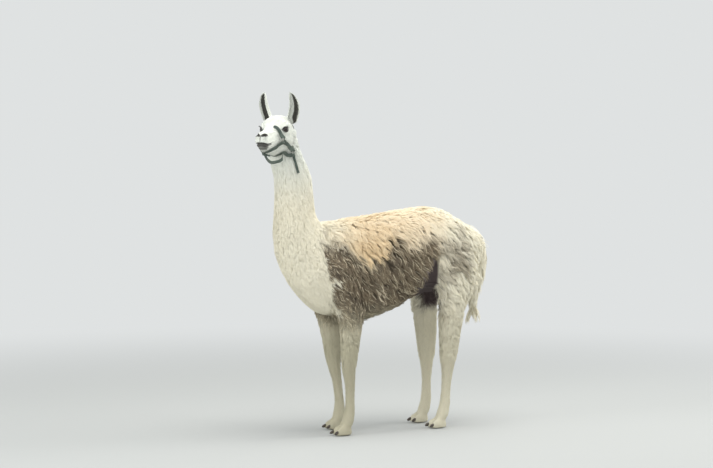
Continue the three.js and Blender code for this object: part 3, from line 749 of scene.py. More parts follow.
def looped(path, outs):
    """The path led through the ring near its last point, round its wire and back over itself."""
    middle, axis, radius = min(rings.values(), key=lambda held: np.linalg.norm(held[0] - path[-1]))
    if np.linalg.norm(middle - path[-1]) > RING_REACH:
        return path, outs
    towards = path[-4] - middle
    towards = unit(towards - (towards @ axis) * axis)
    wire, out = middle + towards * radius, outs[-1]
    ahead = -unit(towards - (towards @ out) * out)
    turn = RING_WIRE + WEB_THICK / 2 + 0.0004
    far = np.append(0, np.cumsum(np.linalg.norm(np.diff(path[::-1], axis=0), axis=1)))[::-1]
    lead = (1 - soft_step(far, 0.0, LEAD))[:, None]
    path = path + (wire - out * turn - path[-1]) * lead
    angle = np.linspace(0, math.pi, TURN_STEPS)[1:, None]
    bend = wire + turn * (ahead * np.sin(angle) - out * np.cos(angle))
    bend_out = out * np.cos(angle) - ahead * np.sin(angle)
    rows = int(FOLD_LONG / WEB_STEP) + 1
    drop = 2 * turn + (FOLD_RISE - 2 * turn) * soft_step(far[-rows:], 0.0, 0.012)
    back = (path[-rows:] + outs[-rows:] * drop[:, None])[::-1][1:]
    return (np.concatenate([path, bend, back]),
            np.concatenate([outs, bend_out, -outs[-rows:][::-1][1:]]))


def both_looped(path, outs):
    """The path led through the rings at both of its ends."""
    path, outs = looped(path, outs)
    return looped(path[::-1], outs[::-1])


def ribbon(name, path, outs, wide, *replaced):
    """Webbing along a path: a bent grid with its weave's own map, made thick and soft-edged."""
    web = bmesh.new()
    bmesh.ops.create_grid(web, x_segments=len(path) - 1, y_segments=4, size=1.0)
    weave = web.loops.layers.uv.new("weave")
    tangent = unit(np.gradient(path, axis=0))
    across = unit(np.cross(outs, tangent))
    length = np.linalg.norm(np.diff(path, axis=0), axis=1).sum()
    for vert in web.verts:
        row = round((vert.co.x + 1) / 2 * (len(path) - 1))
        lane = vert.co.y
        for loop in vert.link_loops:
            loop[weave].uv = (row / (len(path) - 1) * length, lane * wide / 2)
        vert.co = Vector(path[row] + across[row] * lane * wide / 2)
    web.normal_update()
    if sum(face.normal.dot(Vector(outs[len(outs) // 2])) for face in web.faces) < 0:
        bmesh.ops.reverse_faces(web, faces=web.faces)
    mesh = mesh_of(web, name)
    mesh.materials.append(webbing)
    piece = piece_of(mesh, "webbing", *replaced)
    wall = piece.modifiers.new("thickness", "SOLIDIFY")
    wall.thickness, wall.offset = WEB_THICK, 0.0
    edge = piece.modifiers.new("edges", "BEVEL")
    edge.width, edge.segments, edge.limit_method = 0.0007, 2, "ANGLE"


webbing, nodes, shader = finish("webbing", 0.82, Specular_IOR_Level=0.25)
weave_map = nodes.node("ShaderNodeUVMap", {"uv_map": "weave"})
run, lane, _ = weave_map.parts()
place = nodes.node("ShaderNodeTexCoord", out=3)
wear = place.noise(60.0, 4.0)
grime = place.noise(14.0, 2.0)


def wave(wire):
    """The sine of a wire, for the regular threads of the weave."""
    return wire.node("ShaderNodeMath", {"operation": "SINE"}, {0: wire})


twill = wave(run * (2 * math.pi / 0.0026) + abs(lane) * 1500.0)
cords = wave(lane * (2 * math.pi / 0.0019))
frayed = abs(lane).rise(0.0074, 0.0094) * wear.rise(0.40, 0.62)
dark = grime.rise(0.35, 0.65).blend(paint(72, 83, 77), paint(96, 106, 98))
worn = (frayed * 0.7 + wear.rise(0.60, 0.78) * 0.35).at_most(1.0).blend(dark, paint(128, 132, 120))
plug(worn.tint(1.0 + twill * 0.10 + cords * 0.05), shader, "Base Color")
height = twill * 0.5 + cords * 0.35 + wear * 0.3
plug(nodes.node("ShaderNodeBump", None, {"Strength": 0.6, "Distance": 0.0006, "Height": height}),
     shader, "Normal")

pressing = []
for name, half in MIRRORED_STRAPS.items():
    knots = half + [(px, -py, pz) for px, py, pz in reversed(half[:-1])]
    path, outs = laid(threaded(from_head(knots), WEB_STEP), hidden=name == "noseband")
    shown = to_head(path)[:, 1]
    shown = (shown > HIDDEN_LEFT - 0.006) | (shown < HIDDEN_RIGHT + 0.006) | (name != "noseband")
    pressing.append(path[shown])
    ribbon(name + "_web", *both_looped(path, outs), WEB_WIDE, name)
for side, sign in SIDES:
    knots = [(px, py * sign, pz) for px, py, pz in CHEEK_STRAP]
    path, outs = laid(threaded(from_head(knots), WEB_STEP))
    pressing.append(path)
    ribbon(f"cheek_strap_{side}_web", *both_looped(path, outs), WEB_WIDE, "cheek_strap_" + side)
loop_knots = from_head(JAW_LOOP)
for end, held in ((0, pressing[1]), (-1, pressing[3])):
    loop_knots[end] = held[np.linalg.norm(held - loop_knots[end], axis=1).argmin()]
loop_path = threaded(loop_knots, WEB_STEP)
loop_out = unit(np.cross(np.gradient(loop_path, axis=0), np.array([0, 0, 1.0])))
ribbon("jaw_loop_web", loop_path, loop_out, LOOP_WIDE, "jaw_loop")
end_path, end_out = laid(threaded(from_head(LOOSE_END), WEB_STEP))
end_path = end_path + end_out * 0.002
ribbon("strap_end_web", *both_looped(end_path, end_out), END_WIDE, "strap_end")
ribbon("strap_end_fold", end_path[-5:] + end_out[-5:] * FOLD_RISE, end_out[-5:], END_WIDE)
pressing.append(end_path)


def reach_of(line, places):
    """How far each place is from the nearest point of a line."""
    batches = [places[k:k + BATCH] for k in range(0, len(places), BATCH)]
    reaches = [np.linalg.norm(some[:, None] - line[None], axis=2).min(1) for some in batches]
    return np.concatenate(reaches)


near_halter = points[:, 2] > HALTER_FROM
press, end_press = np.zeros(len(points)), np.zeros(len(points))
strap_reach = reach_of(np.concatenate(pressing), points[near_halter])
press[near_halter] = 1 - soft_step(strap_reach, *STRAP_PRESS)
end_press[near_halter] = 1 - soft_step(reach_of(end_path, points[near_halter]), *END_PRESS)

ring_metal, nodes, shader = finish("ring", 0.42, Metallic=1.0)
place = nodes.node("ShaderNodeTexCoord", out=3)
stain = place.noise(90.0, 4.0)
plug(stain.rise(0.35, 0.65).blend(paint(150, 148, 142), paint(196, 194, 188)), shader, "Base Color")
plug(stain.rise(0.30, 0.70) * 0.25 + 0.30, shader, "Roughness")
for node, (middle, axis, radius) in rings.items():
    wire = bmesh.new()
    upright = Matrix.Translation((radius, 0, 0)) @ Matrix.Rotation(math.pi / 2, 4, "X")
    bmesh.ops.create_circle(wire, segments=12, radius=RING_WIRE, matrix=upright)
    bmesh.ops.spin(wire, geom=wire.verts[:] + wire.edges[:], axis=(0, 0, 1), cent=(0, 0, 0),
                   angle=2 * math.pi, steps=40, use_merge=True)
    bmesh.ops.recalc_face_normals(wire, faces=wire.faces)
    facing = Vector(axis).to_track_quat("Z", "Y").to_matrix().to_4x4()
    bmesh.ops.transform(wire, verts=wire.verts, matrix=Matrix.Translation(middle) @ facing)
    mesh = mesh_of(wire, node + "_steel")
    mesh.materials.append(ring_metal)
    piece_of(mesh, "ring", node)

# ---------------------------------------------------------------------------------------------
# Coat: locks of wool laid over the hide. Every lock is a thin closed three-sided blade that
# starts in the hide, follows it, and draws together with its neighbours into a pointed clump.

owner = nearest_nodes(points, FLESH)
region = np.array([region_of(name) for name in FLESH])[owner]
x, y, z = points.T
local = to_head(points)
FLEECE_FRONT, FLEECE_LEAN = -0.124, 0.23

sloped = y + FLEECE_LEAN * np.clip(z, 0.6, 1.1)
behind = soft_step(sloped, FLEECE_FRONT - 0.012, FLEECE_FRONT + 0.012)
on_leg = np.isin(region, ("upper", "cannon", "foot"))
fleece = np.where(on_leg, soft_step(z, 0.54, 0.62), 1.0) * behind
fleece *= ~np.isin(region, ("neck", "head", "jaw", "ear", "tail"))
groin = soft_step(y, 0.16, 0.26) * (1 - soft_step(np.abs(x), 0.05, 0.11)) * (z < 0.90) * (y < 0.52)
crotch = soft_step(z, 0.62, 0.72)
haired = relaxed(bare, skin_edges, 3)
fold_line = fold_front(z) - 0.060
fold = soft_step(y, fold_line - 0.012, fold_line + 0.012)
fold *= 1 - soft_step(y, fold_back(z) - 0.002, fold_back(z) + 0.010)
fold *= (z < GROIN_TOP + 0.035) * soft_step(z, 0.64, 0.69)
fleece *= 1 - np.maximum(0.98 * groin, fold)
covers = {
    "fleece": fleece,
    "neck": (1 - behind) * (region == "trunk") + (region == "neck"),
    "leg": (region == "upper") * (1 - fleece) * (1 - np.maximum(0.85 * groin * crotch, fold)),
    "shank": np.isin(region, ("cannon", "foot")).astype(float),
    "face": np.isin(region, ("head", "jaw", "ear")) * (1 - soft_step(haired, 0.06, 0.30)),
    "tail": (region == "tail").astype(float),
}
covers["neck"] *= z > 0.4
calm_back = np.maximum(soft_step(normals[:, 2], 0.35, 0.80), soft_step(z, 0.96, 1.08) * (y < 0.40))
EAR_OPENING = 0.45
EAR_FOOT, EAR_SHELF, SHELVES = 0.112, 0.008, 32
LIP_SKIN_AND_SHADE = 0.74
# Painted shade: this mask marks the hollow inside each ear, and the chin below the mouth, to be painted
# dark grey.
inner = np.zeros(len(points))
ear_rim = np.zeros(len(points))
for _, sign in SIDES:
    aside = local[:, 1] * sign
    on_ear = (region == "ear") & (aside > 0) & (local[:, 2] > EAR_FOOT)
    shelf = np.clip(((local[:, 2] - EAR_FOOT) / EAR_SHELF).astype(int), 0, SHELVES - 1)
    inmost, outmost = np.full(SHELVES, 9.0), np.full(SHELVES, -9.0)
    np.minimum.at(inmost, shelf[on_ear], aside[on_ear])
    np.maximum.at(outmost, shelf[on_ear], aside[on_ear])
    share = (aside - inmost[shelf]) / np.maximum(outmost - inmost, 0.004)[shelf]
    opening = np.array([math.cos(EAR_OPENING), sign * math.sin(EAR_OPENING), -0.05]) @ HEAD_AXES
    facing = normals @ opening
    # Faces inside the ear that look out of its opening, away from the rims, get painted shade.
    dark = soft_step(facing, 0.10, 0.40) * soft_step(share, 0.24, 0.36)
    inner += dark * (1 - soft_step(share, 0.82, 0.93)) * on_ear
    ear_rim += (np.abs(facing) < 0.45) * on_ear * (local[:, 2] > EAR_FOOT + 0.012)
# Below the mouth the mask adds the dark skin of the lower lip and painted shade down the chin, under
# the upper lip.
chin = soft_step(local[:, 0], 0.226, 0.252) * np.isin(region, ("head", "jaw"))
below = np.interp(local[:, 0], *np.array(MOUTH_LINE).T) - local[:, 2]
inner += LIP_SKIN_AND_SHADE * chin * soft_step(below, -0.012, 0.0) * (1 - soft_step(below, 0.022, 0.038))
inner = relaxed(inner, skin_edges, 4)
note(skin_mesh, "inner", inner)

flow = np.zeros_like(points)
apart = np.sign(x) * soft_step(np.abs(x), 0.0, 0.05)
rearward = 0.40 + 0.40 * soft_step(y, -0.1, 0.45)
on_trunk = np.isin(region, ("trunk", "upper"))[:, None]
flow += on_trunk * np.stack([0.75 * apart, rearward, np.full(len(points), -0.85)], 1)
flow += (region == "neck")[:, None] * np.array([0, 0.12, -1])
flow += np.isin(region, ("cannon", "foot"))[:, None] * np.array([0, 0.02, -1])
flow += (region == "tail")[:, None] * np.array([0, 0.10, -1])
short_front = ((covers["neck"] > 0.5) & (region == "trunk"))[:, None]
flow = np.where(short_front, np.array([0, 0.10, -1]), flow)
flow = np.where((covers["leg"] > 0.5)[:, None] & (z < 0.6)[:, None], np.array([0, 0.05, -1]), flow)
muzzle = soft_step(local[:, 0], 0.10, 0.20)[:, None]
on_head = np.isin(region, ("head", "jaw"))[:, None]
from_mouth = np.clip(-below / 0.012, -1, 1)[:, None]
on_muzzle = np.array([-1, 0, 0]) + from_mouth * np.array([0, 0, 0.45])
flow += on_head * (on_muzzle * muzzle + np.array([-0.8, 0, -0.35]) * (1 - muzzle)) @ HEAD_AXES
flow += (region == "ear")[:, None] * np.array([-0.1, 0, 1.0]) @ HEAD_AXES
flow = relaxed(flow, skin_edges, 12)
flow -= (flow * normals).sum(1)[:, None] * normals
flow /= np.maximum(np.linalg.norm(flow, axis=1), 1e-6)[:, None]

corner = points[triangles]
cross = np.cross(corner[:, 1] - corner[:, 0], corner[:, 2] - corner[:, 0])
area = np.linalg.norm(cross, axis=1) / 2


def scatter(cover, count, chance):
    """Root places spread evenly over the faces of a cover: face numbers and shares of corners."""
    ladder = np.cumsum(area * cover[triangles].mean(1))
    picks = (np.arange(count) + chance.random(count)) / count * ladder[-1]
    faces = np.minimum(np.searchsorted(ladder, picks), len(area) - 1)
    a, b = chance.random(count), chance.random(count)
    flip = a + b > 1
    a, b = np.where(flip, 1 - a, a), np.where(flip, 1 - b, b)
    return faces, np.stack([1 - a - b, a, b], 1)


def at_roots(values, faces, shares):
    """The values of the hide's vertices, at the roots."""
    shares = shares.reshape(len(faces), 3, *[1] * (values.ndim - 1))
    return (values[triangles[faces]] * shares).sum(1)


def settle(places):
    """The nearest places on the hide, their face's numbers."""
    found = [hide_tree.find_nearest(place) for place in places]
    return np.array([hit[0] for hit in found]), np.array([hit[2] for hit in found])


CURLS = 0.75


def walk(starts, faces, lengths, rings, sway, phase, wave_size, guide=None, pull=None):
    """Paths over the hide along the flow: feet, directions out of the hide, for each ring. Each
    one sways and waves to its sides, and may be pulled towards a guide."""
    feet, outs = [starts], [normals[triangles[faces]].mean(1)]
    for ring in range(1, rings):
        t = ring / (rings - 1)
        heading = flow[triangles[faces]].mean(1)
        aside = np.cross(outs[-1], heading)
        step = lengths[:, None] / (rings - 1)
        bend = sway + wave_size * np.sin(phase + 2 * math.pi * CURLS * t)
        place = feet[-1] + step * (heading + aside * bend[:, None])
        if guide is not None:
            place = place + (guide[ring] - place) * (pull * t ** 1.2)[:, None]
        foot, found = settle(place)
        out = normals[triangles[found]].mean(1)
        over = ((out * outs[-1]).sum(1) < 0.1)[:, None]
        feet.append(np.where(over, place, foot))
        outs.append(np.where(over, outs[-1], out))
        faces = np.where(over[:, 0], faces, found)
    return np.array(feet), np.array(outs)


proxy = modified(skin_mesh, "DECIMATE", ratio=0.06)
chart = bpy.data.objects.new("chart", proxy)
scene.collection.objects.link(chart)
bpy.context.view_layer.objects.active = chart
chart.select_set(True)
bpy.ops.object.mode_set(mode="EDIT")
bpy.ops.mesh.select_all(action="SELECT")
bpy.ops.uv.smart_project(angle_limit=math.radians(66), island_margin=0.004)
bpy.ops.object.mode_set(mode="OBJECT")
chart_points = read(proxy.vertices, "co", 3).astype(np.float64)
chart_faces = read(proxy.loops, "vertex_index", 1, np.int32).reshape(-1, 3)
chart_uv = read(proxy.uv_layers.active.data, "uv", 2).reshape(-1, 3, 2).astype(np.float64)
chart_tree = tree_of(chart_points, chart_faces)
bpy.data.objects.remove(chart)


def charted(roots):
    """Each root's place on the flat unwrap of the hide."""
    found = [chart_tree.find_nearest(root) for root in roots]
    feet = np.array([hit[0] for hit in found])
    faces = np.array([hit[2] for hit in found])
    a, b, c = chart_points[chart_faces[faces]].transpose(1, 0, 2)
    whole = np.cross(b - a, c - a)
    total = np.maximum((whole ** 2).sum(1), 1e-18)
    share_b = (np.cross(feet - a, c - a) * whole).sum(1) / total
    share_c = (np.cross(b - a, feet - a) * whole).sum(1) / total
    shares = np.stack([1 - share_b - share_c, share_b, share_c], 1)
    return (chart_uv[faces] * shares[:, :, None]).sum(1)


PATCH = 0.003
SOFTNESS = 0.55
PIECE_LIMIT = 195000


def blades(name, slot, material, roots, feet, outs, heights, widths, thick, roll, chance_values,
           shade_and_dark_skin_values):
    """Closed three-sided blades along the paths, in pieces of at most PIECE_LIMIT triangles."""
    rings, count = feet.shape[:2]
    t = np.linspace(0, 1, rings)
    spine = feet + outs * heights[:, :, None]
    heading = unit(np.gradient(spine, axis=0))
    aside = unit(np.cross(heading, outs))
    upward = np.cross(aside, heading)
    roll_cos, roll_sin = np.cos(roll)[None, :, None], np.sin(roll)[None, :, None]
    turned = aside * roll_cos + upward * roll_sin
    raised = upward * roll_cos - aside * roll_sin
    taper = np.minimum(0.55 + 1.6 * t, 1.0) * (1 - t ** 2.4) + 0.02
    half = (widths[None, :] * taper[:, None] / 2)[:, :, None]
    deep = (thick * widths[None, :] * taper[:, None])[:, :, None]
    solid_rings = rings - 1

    def by_blade(three, tip):
        """What the three edges carry at each ring, and the tip, as rows for each blade."""
        rows = np.stack(three, 2)[:solid_rings].transpose(1, 0, 2, 3)
        return np.concatenate([rows.reshape(count, -1, 3), tip[:, None, :]], 1)

    edges = [spine - turned * half, spine + turned * half, spine + raised * deep]
    corners = by_blade(edges, spine[-1])
    facing = [raised * 0.35 - turned, raised * 0.35 + turned, raised]
    facing = [unit(unit(way) * (1 - SOFTNESS) + outs * SOFTNESS) for way in facing]
    soft = by_blade(facing, outs[-1])
    per = solid_rings * 3 + 1
    faces = [(0, 1, 2)]
    for ring in range(solid_rings - 1):
        for k in range(3):
            a, b = ring * 3 + k, ring * 3 + (k + 1) % 3
            faces += [(a, a + 3, b), (b, a + 3, b + 3)]
    last = (solid_rings - 1) * 3
    faces += [(last + k, per - 1, last + (k + 1) % 3) for k in range(3)]
    faces = np.array(faces)
    under = [1 + 6 * ring + k for ring in range(solid_rings - 1) for k in (0, 1)]
    under = [0] + under + [len(faces) - 3]
    below = -unit(raised[:solid_rings].mean(0))
    along = np.append(np.repeat(t[:solid_rings], 3), 1.0)
    lane = np.append(np.tile([-0.5, 0.5, 0.0], solid_rings), 0.0)
    uv_roots = charted(roots)
    share = max(1, math.ceil(count * len(faces) / PIECE_LIMIT))
    order = np.argsort(roots[:, 1], kind="stable")
    for number, chosen in enumerate(np.array_split(order, share)):
        size = len(chosen)
        mesh = bpy.data.meshes.new(f"{name}_{number + 1}")
        mesh.vertices.add(size * per)
        mesh.vertices.foreach_set("co", corners[chosen].astype(np.float32).ravel())
        index = (faces[None] + (np.arange(size) * per)[:, None, None]).astype(np.int32).ravel()
        mesh.loops.add(len(index))
        mesh.loops.foreach_set("vertex_index", index)
        mesh.polygons.add(len(index) // 3)
        mesh.polygons.foreach_set("loop_start", np.arange(0, len(index), 3, dtype=np.int32))
        mesh.update(calc_edges=True)
        note(mesh, "root", np.repeat(roots[chosen], per, 0))
        lock = [np.tile(lane, size), np.tile(along, size), np.repeat(chance_values[chosen], per)]
        note(mesh, "lock", np.stack(lock, 1))
        note(mesh, "inner", np.repeat(shade_and_dark_skin_values[chosen], per))
        flat = uv_roots[chosen][:, None, :] + PATCH * np.stack([lane, along - 0.5], 1)[None]
        flat = flat.reshape(-1, 2)[index].astype(np.float32)
        mesh.uv_layers.new(name="OFBake").data.foreach_set("uv", flat.ravel())
        mesh.materials.append(material)
        piece_of(mesh, slot)
        lit = soft[chosen][:, faces]
        lit[:, under] = below[chosen][:, None, None]
        mesh.normals_split_custom_set(lit.reshape(-1, 3))


CLUMP_LENGTHS, LOCK_LENGTHS, LOCK_WIDTHS = (0.75, 1.3), (0.7, 1.15), (0.8, 1.25)
CLUMP_SWAY, LOCK_SWAY = 0.22, 0.10
ROOT_SHARE, ROOT_LEAST, ROOT_MOST = 0.15, 0.0003, 0.0012


def coat(name, slot, material, cover, count, rings, seed, length, width, clump, pull, wave_size,
         thick=0.45, roll=0.5, stand=0.05, relief=0.45, uneven=0.35, swell=None):
    """One kind of wool over one part of the hide. Lengths and widths go by the coat's depth."""
    chance = np.random.default_rng(seed)
    faces, shares = scatter(cover, count, chance)
    roots = at_roots(points, faces, shares)
    deep = at_roots(depth, faces, shares)
    clump_count = max(8, int((area * cover[triangles].mean(1)).sum() / clump ** 2))
    clump_faces, clump_shares = scatter(cover, clump_count, chance)
    clump_roots = at_roots(points, clump_faces, clump_shares)
    clump_deep = at_roots(depth, clump_faces, clump_shares)
    lengths = np.interp(clump_deep, *length) * chance.uniform(*CLUMP_LENGTHS, clump_count)
    phase = chance.uniform(0, 2 * math.pi, clump_count)
    sway = chance.normal(0, CLUMP_SWAY, clump_count)
    guides, _ = walk(clump_roots, clump_faces, lengths, rings, sway, phase, wave_size)
    tree = KDTree(clump_count)
    for k, place in enumerate(clump_roots):
        tree.insert(place, k)
    tree.balance()
    nearest = np.empty(count, int)
    apart = np.empty(count)
    for k, place in enumerate(roots):
        _, nearest[k], apart[k] = tree.find(place)
    edge = np.clip(apart / (0.75 * clump), 0, 1)
    own = np.interp(deep, *length) * chance.uniform(*LOCK_LENGTHS, count)
    own_sway = sway[nearest] + chance.normal(0, LOCK_SWAY, count)
    calm = at_roots(calm_back, faces, shares)
    strength = pull * chance.uniform(0.75, 1.1, count) * (1 - 0.75 * calm)
    strength *= apart < 1.2 * clump
    strength = np.clip(strength, 0, 0.95)
    feet, outs = walk(roots, faces, own, rings, own_sway, phase[nearest], wave_size,
                      guides[:, nearest], strength)
    t = np.linspace(0, 1, rings)[:, None]
    ragged = chance.uniform(0, uneven, count)
    layer = 1 - relief * (1 - 0.8 * calm) * edge ** 1.4 - ragged * (1 - 0.4 * calm)
    layer *= 1 - 0.85 * at_roots(press, faces, shares)
    rise = 1 - (1 - t) ** 2.2
    if swell is not None:
        spared = 1 - 0.9 * at_roots(end_press, faces, shares)
        layer = layer + at_roots(swell, faces, shares) / deep * spared
    rooted = np.clip(ROOT_SHARE * deep, ROOT_LEAST, ROOT_MOST)[None, :]
    heights = deep[None, :] * layer[None, :] * rise - rooted * (1 - t)
    out = stand * np.abs(chance.normal(0, 1, count)) * deep
    heights += (t ** 2) * out[None, :]
    widths = np.interp(deep, *width) * chance.uniform(*LOCK_WIDTHS, count)
    heights = np.maximum(heights - thick * widths[None, :] * 0.5, -rooted)
    blades(name, slot, material, roots, feet, outs, heights, widths, thick,
           chance.normal(0, roll, count), chance.random(count), at_roots(inner, faces, shares))


def markings(place, shade_and_dark_skin_mask):
    """The llama's colours over its body, from a place on the hide: colour and a mask of dirt. The
    colour carries painted shade too: dark grey in the ear hollows and on the chin, and darker front
    legs.
    """
    px, py, pz = place.parts()
    broad = place.noise(5.0, 2.0)
    patch = place.noise(16.0, 3.0)
    ragged = (broad - 0.5) * 0.26 + (patch - 0.5) * 0.20
    cream = broad.rise(0.3, 0.7).blend(paint(238, 232, 212), paint(246, 240, 220))
    white = paint(231, 233, 225)
    high = pz + ragged
    sloped = py + pz.at_most(1.1) * FLEECE_LEAN + ragged * 0.12 + (patch - 0.5) * 0.05
    behind = sloped.rise(FLEECE_FRONT - 0.015, FLEECE_FRONT + 0.015) * pz.rise(0.50, 0.60)
    behind = behind * (1 - pz.rise(1.12, 1.22))
    tan = (py + ragged * 0.8).rise(-0.36, -0.10) * (1 - (py + ragged * 0.8).rise(-0.08, 0.20))
    tan = tan * high.rise(0.82, 0.94) * (1 - high.rise(0.98, 1.14) * 0.8)
    pale_tan = (py + ragged).rise(-0.25, -0.05) * (1 - (py + ragged).rise(0.20, 0.40))
    warm = (pale_tan * 0.6).blend(cream, paint(236, 214, 180))
    warm = (tan * 0.85).blend(warm, paint(226, 199, 156))
    dip = py.rise(-0.22, -0.12) * (1 - py.rise(-0.08, 0.0))
    lobe = py.rise(-0.04, 0.06) * (1 - py.rise(0.22, 0.32))
    flank = behind * (1 - (py + ragged * 0.5).rise(0.24, 0.31))
    flank = flank * (1 - (high + dip * 0.07 - lobe * 0.03).rise(0.90, 0.995))
    mixed = behind * (1 - py.rise(-0.26, -0.18) * (1 - lobe)) * (1 - high.rise(0.99, 1.07))
    mixed = mixed * patch.rise(0.38, 0.50)
    thigh = (py + ragged * 0.5).rise(0.16, 0.28) * high.rise(0.78, 0.86) * (1 - high.rise(0.98, 1.06))
    thigh = thigh * (1 - py.rise(0.44, 0.54))
    thigh_edge = py.rise(0.28, 0.31) * (1 - py.rise(0.335, 0.375)) * (1 - pz.rise(0.92, 1.0))
    dirt = (flank + mixed * 0.8 + thigh * (patch.rise(0.43, 0.52) * 0.54 + 0.16)).at_most(1.0)
    dirt = dirt * (1 - thigh_edge * 0.6)
    tufts = 0.0
    for tuft_y, tuft_z, long in PALE_TUFTS:
        away = abs(py - tuft_y + (pz - tuft_z) * 0.45) * 70.0 + abs(pz - tuft_z) * (1 / long)
        tufts = (1 - (away + (patch - 0.5) * 2.0).rise(0.7, 1.5)) + tufts
    dirt = dirt * (1 - tufts.at_most(1.0) * 0.8)
    soiled = patch.rise(0.3, 0.7).blend(paint(94, 84, 72), paint(132, 118, 98))
    fleece_colour = dirt.blend(warm, soiled)
    front = pz.rise(1.15, 1.50).blend(cream, white)
    # The front legs are darker than the hind legs: partly dirt, partly painted shade.
    leg = py.rise(-0.20, 0.10).blend(paint(196, 190, 166), paint(222, 216, 194))
    base = pz.rise(0.45, 0.75).blend(leg, behind.blend(front, fleece_colour))
    bare_thigh = py.rise(0.20, 0.30) * (1 - abs(px).rise(0.07, 0.12)) * (1 - pz.rise(0.80, 0.90))
    bare_thigh = bare_thigh * pz.rise(0.60, 0.66) * (1 - py.rise(0.48, 0.54))
    edge = py - fold_front(pz)
    past = py - fold_back(pz)
    fold = edge.rise(-0.062, -0.044) * (1 - past.rise(-0.012, 0.006))
    fold = fold * pz.rise(0.60, 0.66) * (1 - pz.rise(GROIN_TOP - 0.01, GROIN_TOP + 0.02))
    hide = edge.rise(-0.016, 0.010).blend(paint(146, 133, 127), paint(68, 56, 56))
    legs = fold.blend(bare_thigh.blend(base, paint(74, 62, 62)), hide)
    # Dark grey where the shade mask is high: painted shade in the ear hollows, and dark lip skin with
    # painted shade on the chin.
    return shade_and_dark_skin_mask.rise(0.3, 0.9).blend(legs, paint(76, 75, 69)), dirt


def wool_material(name, rough, painted_root_shade, variety):
    """Wool that takes its colour from its root's place, with fine strands along each lock, each lock
    darker towards its root.
    """
    material, nodes, shader = finish(name, rough, Specular_IOR_Level=0.18)
    root = nodes.node("ShaderNodeAttribute", {"attribute_name": "root"}, out=1)
    lock = nodes.node("ShaderNodeAttribute", {"attribute_name": "lock"}, out=1)
    shade_and_dark_skin_mask = nodes.node("ShaderNodeAttribute", {"attribute_name": "inner"}, out=2)
    _, along, chance = lock.parts()
    strands = lock.stretched(7.0, 1.5, 97.0).noise(1.0, 2.0)
    colour, dirt = markings(root, shade_and_dark_skin_mask)
    streak = chance.rise(0.86, 0.88) * dirt
    clean = (streak * 0.7).blend(colour, paint(205, 194, 168))
    tipped = (dirt * along.rise(0.35, 1.0) * 0.16).blend(clean, paint(205, 190, 160))
    shade = 1.0 + (chance - 0.5) * (dirt * 0.26 + variety) + (strands - 0.5) * (dirt * 0.5 + 0.28)
    # Towards the root each lock darkens: dirt in the soiled fleece, and painted shade of the given
    # depth on every lock.
    shade = shade - (1 - along.rise(0.0, 0.45)) * (dirt * 0.22 + painted_root_shade)
    plug(tipped.tint(shade), shader, "Base Color")
    return material


PALE_TUFTS = [(-0.045, 0.765, 0.060), (-0.292, 0.815, 0.018), (-0.262, 0.650, 0.038)]
skin_material, nodes, shader = finish("skin", 0.75)
spot = nodes.node("ShaderNodeTexCoord", out=3)
bare_wire = nodes.node("ShaderNodeAttribute", {"attribute_name": "bare"}, out=2)
shade_and_dark_skin_wire = nodes.node("ShaderNodeAttribute", {"attribute_name": "inner"}, out=2)
# The hide takes the same colours, with the painted shade of the ear hollows and the chin.
hide_colour = markings(spot, shade_and_dark_skin_wire)[0].tint(0.92)
plug(bare_wire.rise(0.25, 0.75).blend(hide_colour, paint(66, 64, 60)), shader, "Base Color")
skin_mesh.materials.append(skin_material)

fleece_material = wool_material("fleece", 0.85, 0.10, 0.08)
wool = wool_material("short_wool", 0.85, 0.0, 0.05)

coat("fleece", "fleece", fleece_material, covers["fleece"], count=37000, rings=4, seed=11,
     length=([0.006, 0.013, 0.022, 0.031], [0.020, 0.034, 0.048, 0.066]),
     width=([0.006, 0.031], [0.0034, 0.0048]),
     clump=0.024, pull=0.62, wave_size=0.42, stand=0.07, relief=0.36, uneven=0.26)
coat("neck_wool", "wool", wool, covers["neck"], count=30000, rings=3, seed=12,
     length=([0.004, 0.015], [0.018, 0.030]), width=([0.004, 0.015], [0.0026, 0.0036]),
     clump=0.022, pull=0.12, wave_size=0.12, relief=0.0, stand=0.02, thick=0.22, roll=0.25,
     uneven=0.08)
coat("leg_wool", "wool", wool, covers["leg"], count=14000, rings=3, seed=13,
     length=([0.006, 0.013], [0.018, 0.028]), width=([0.006, 0.013], [0.0024, 0.0036]),
     clump=0.018, pull=0.2, wave_size=0.2, relief=0.08, thick=0.25, roll=0.3, uneven=0.16)
coat("shank_hair", "wool", wool, covers["shank"], count=22000, rings=2, seed=14,
     length=([0.003, 0.0075], [0.010, 0.022]), width=([0.003, 0.0075], [0.0020, 0.0027]),
     clump=0.012, pull=0.3, wave_size=0.2, relief=0.1, thick=0.30, roll=0.3, uneven=0.2)
coat("face_hair", "face_wool", wool, covers["face"], count=48000, rings=2, seed=15,
     length=([0.002, 0.009], [0.0065, 0.015]), width=([0.002, 0.009], [0.0014, 0.0024]),
     clump=0.010, pull=0.25, wave_size=0.2, relief=0.08, stand=0.02, thick=0.30, roll=0.3,
     uneven=0.2)
RUFF_SWELL = 0.017
THROAT_RING = np.array([0.044, 0.066, -0.026])
ahead, aside, high = local.T
bridge = covers["face"] * (ahead > 0.150) * (1 - soft_step(ahead, 0.186, 0.196)) * (high > 0.06)
bridge *= (aside < HIDDEN_LEFT - 0.004) * (aside > HIDDEN_RIGHT + 0.004)
coat("bridge_hair", "face_wool", wool, bridge, count=1600, rings=4, seed=17,
     length=([0.002, 0.009], [0.020, 0.026]), width=([0.002, 0.009], [0.0016, 0.0022]),
     clump=0.010, pull=0.1, wave_size=0.1, relief=0.0, stand=0.1, thick=0.3, roll=0.3, uneven=0.2)
nape = 1 - soft_step(ahead, -0.020, 0.0)
ruff = soft_step(ahead, -0.060, -0.010) * (1 - soft_step(ahead, 0.042, 0.068))
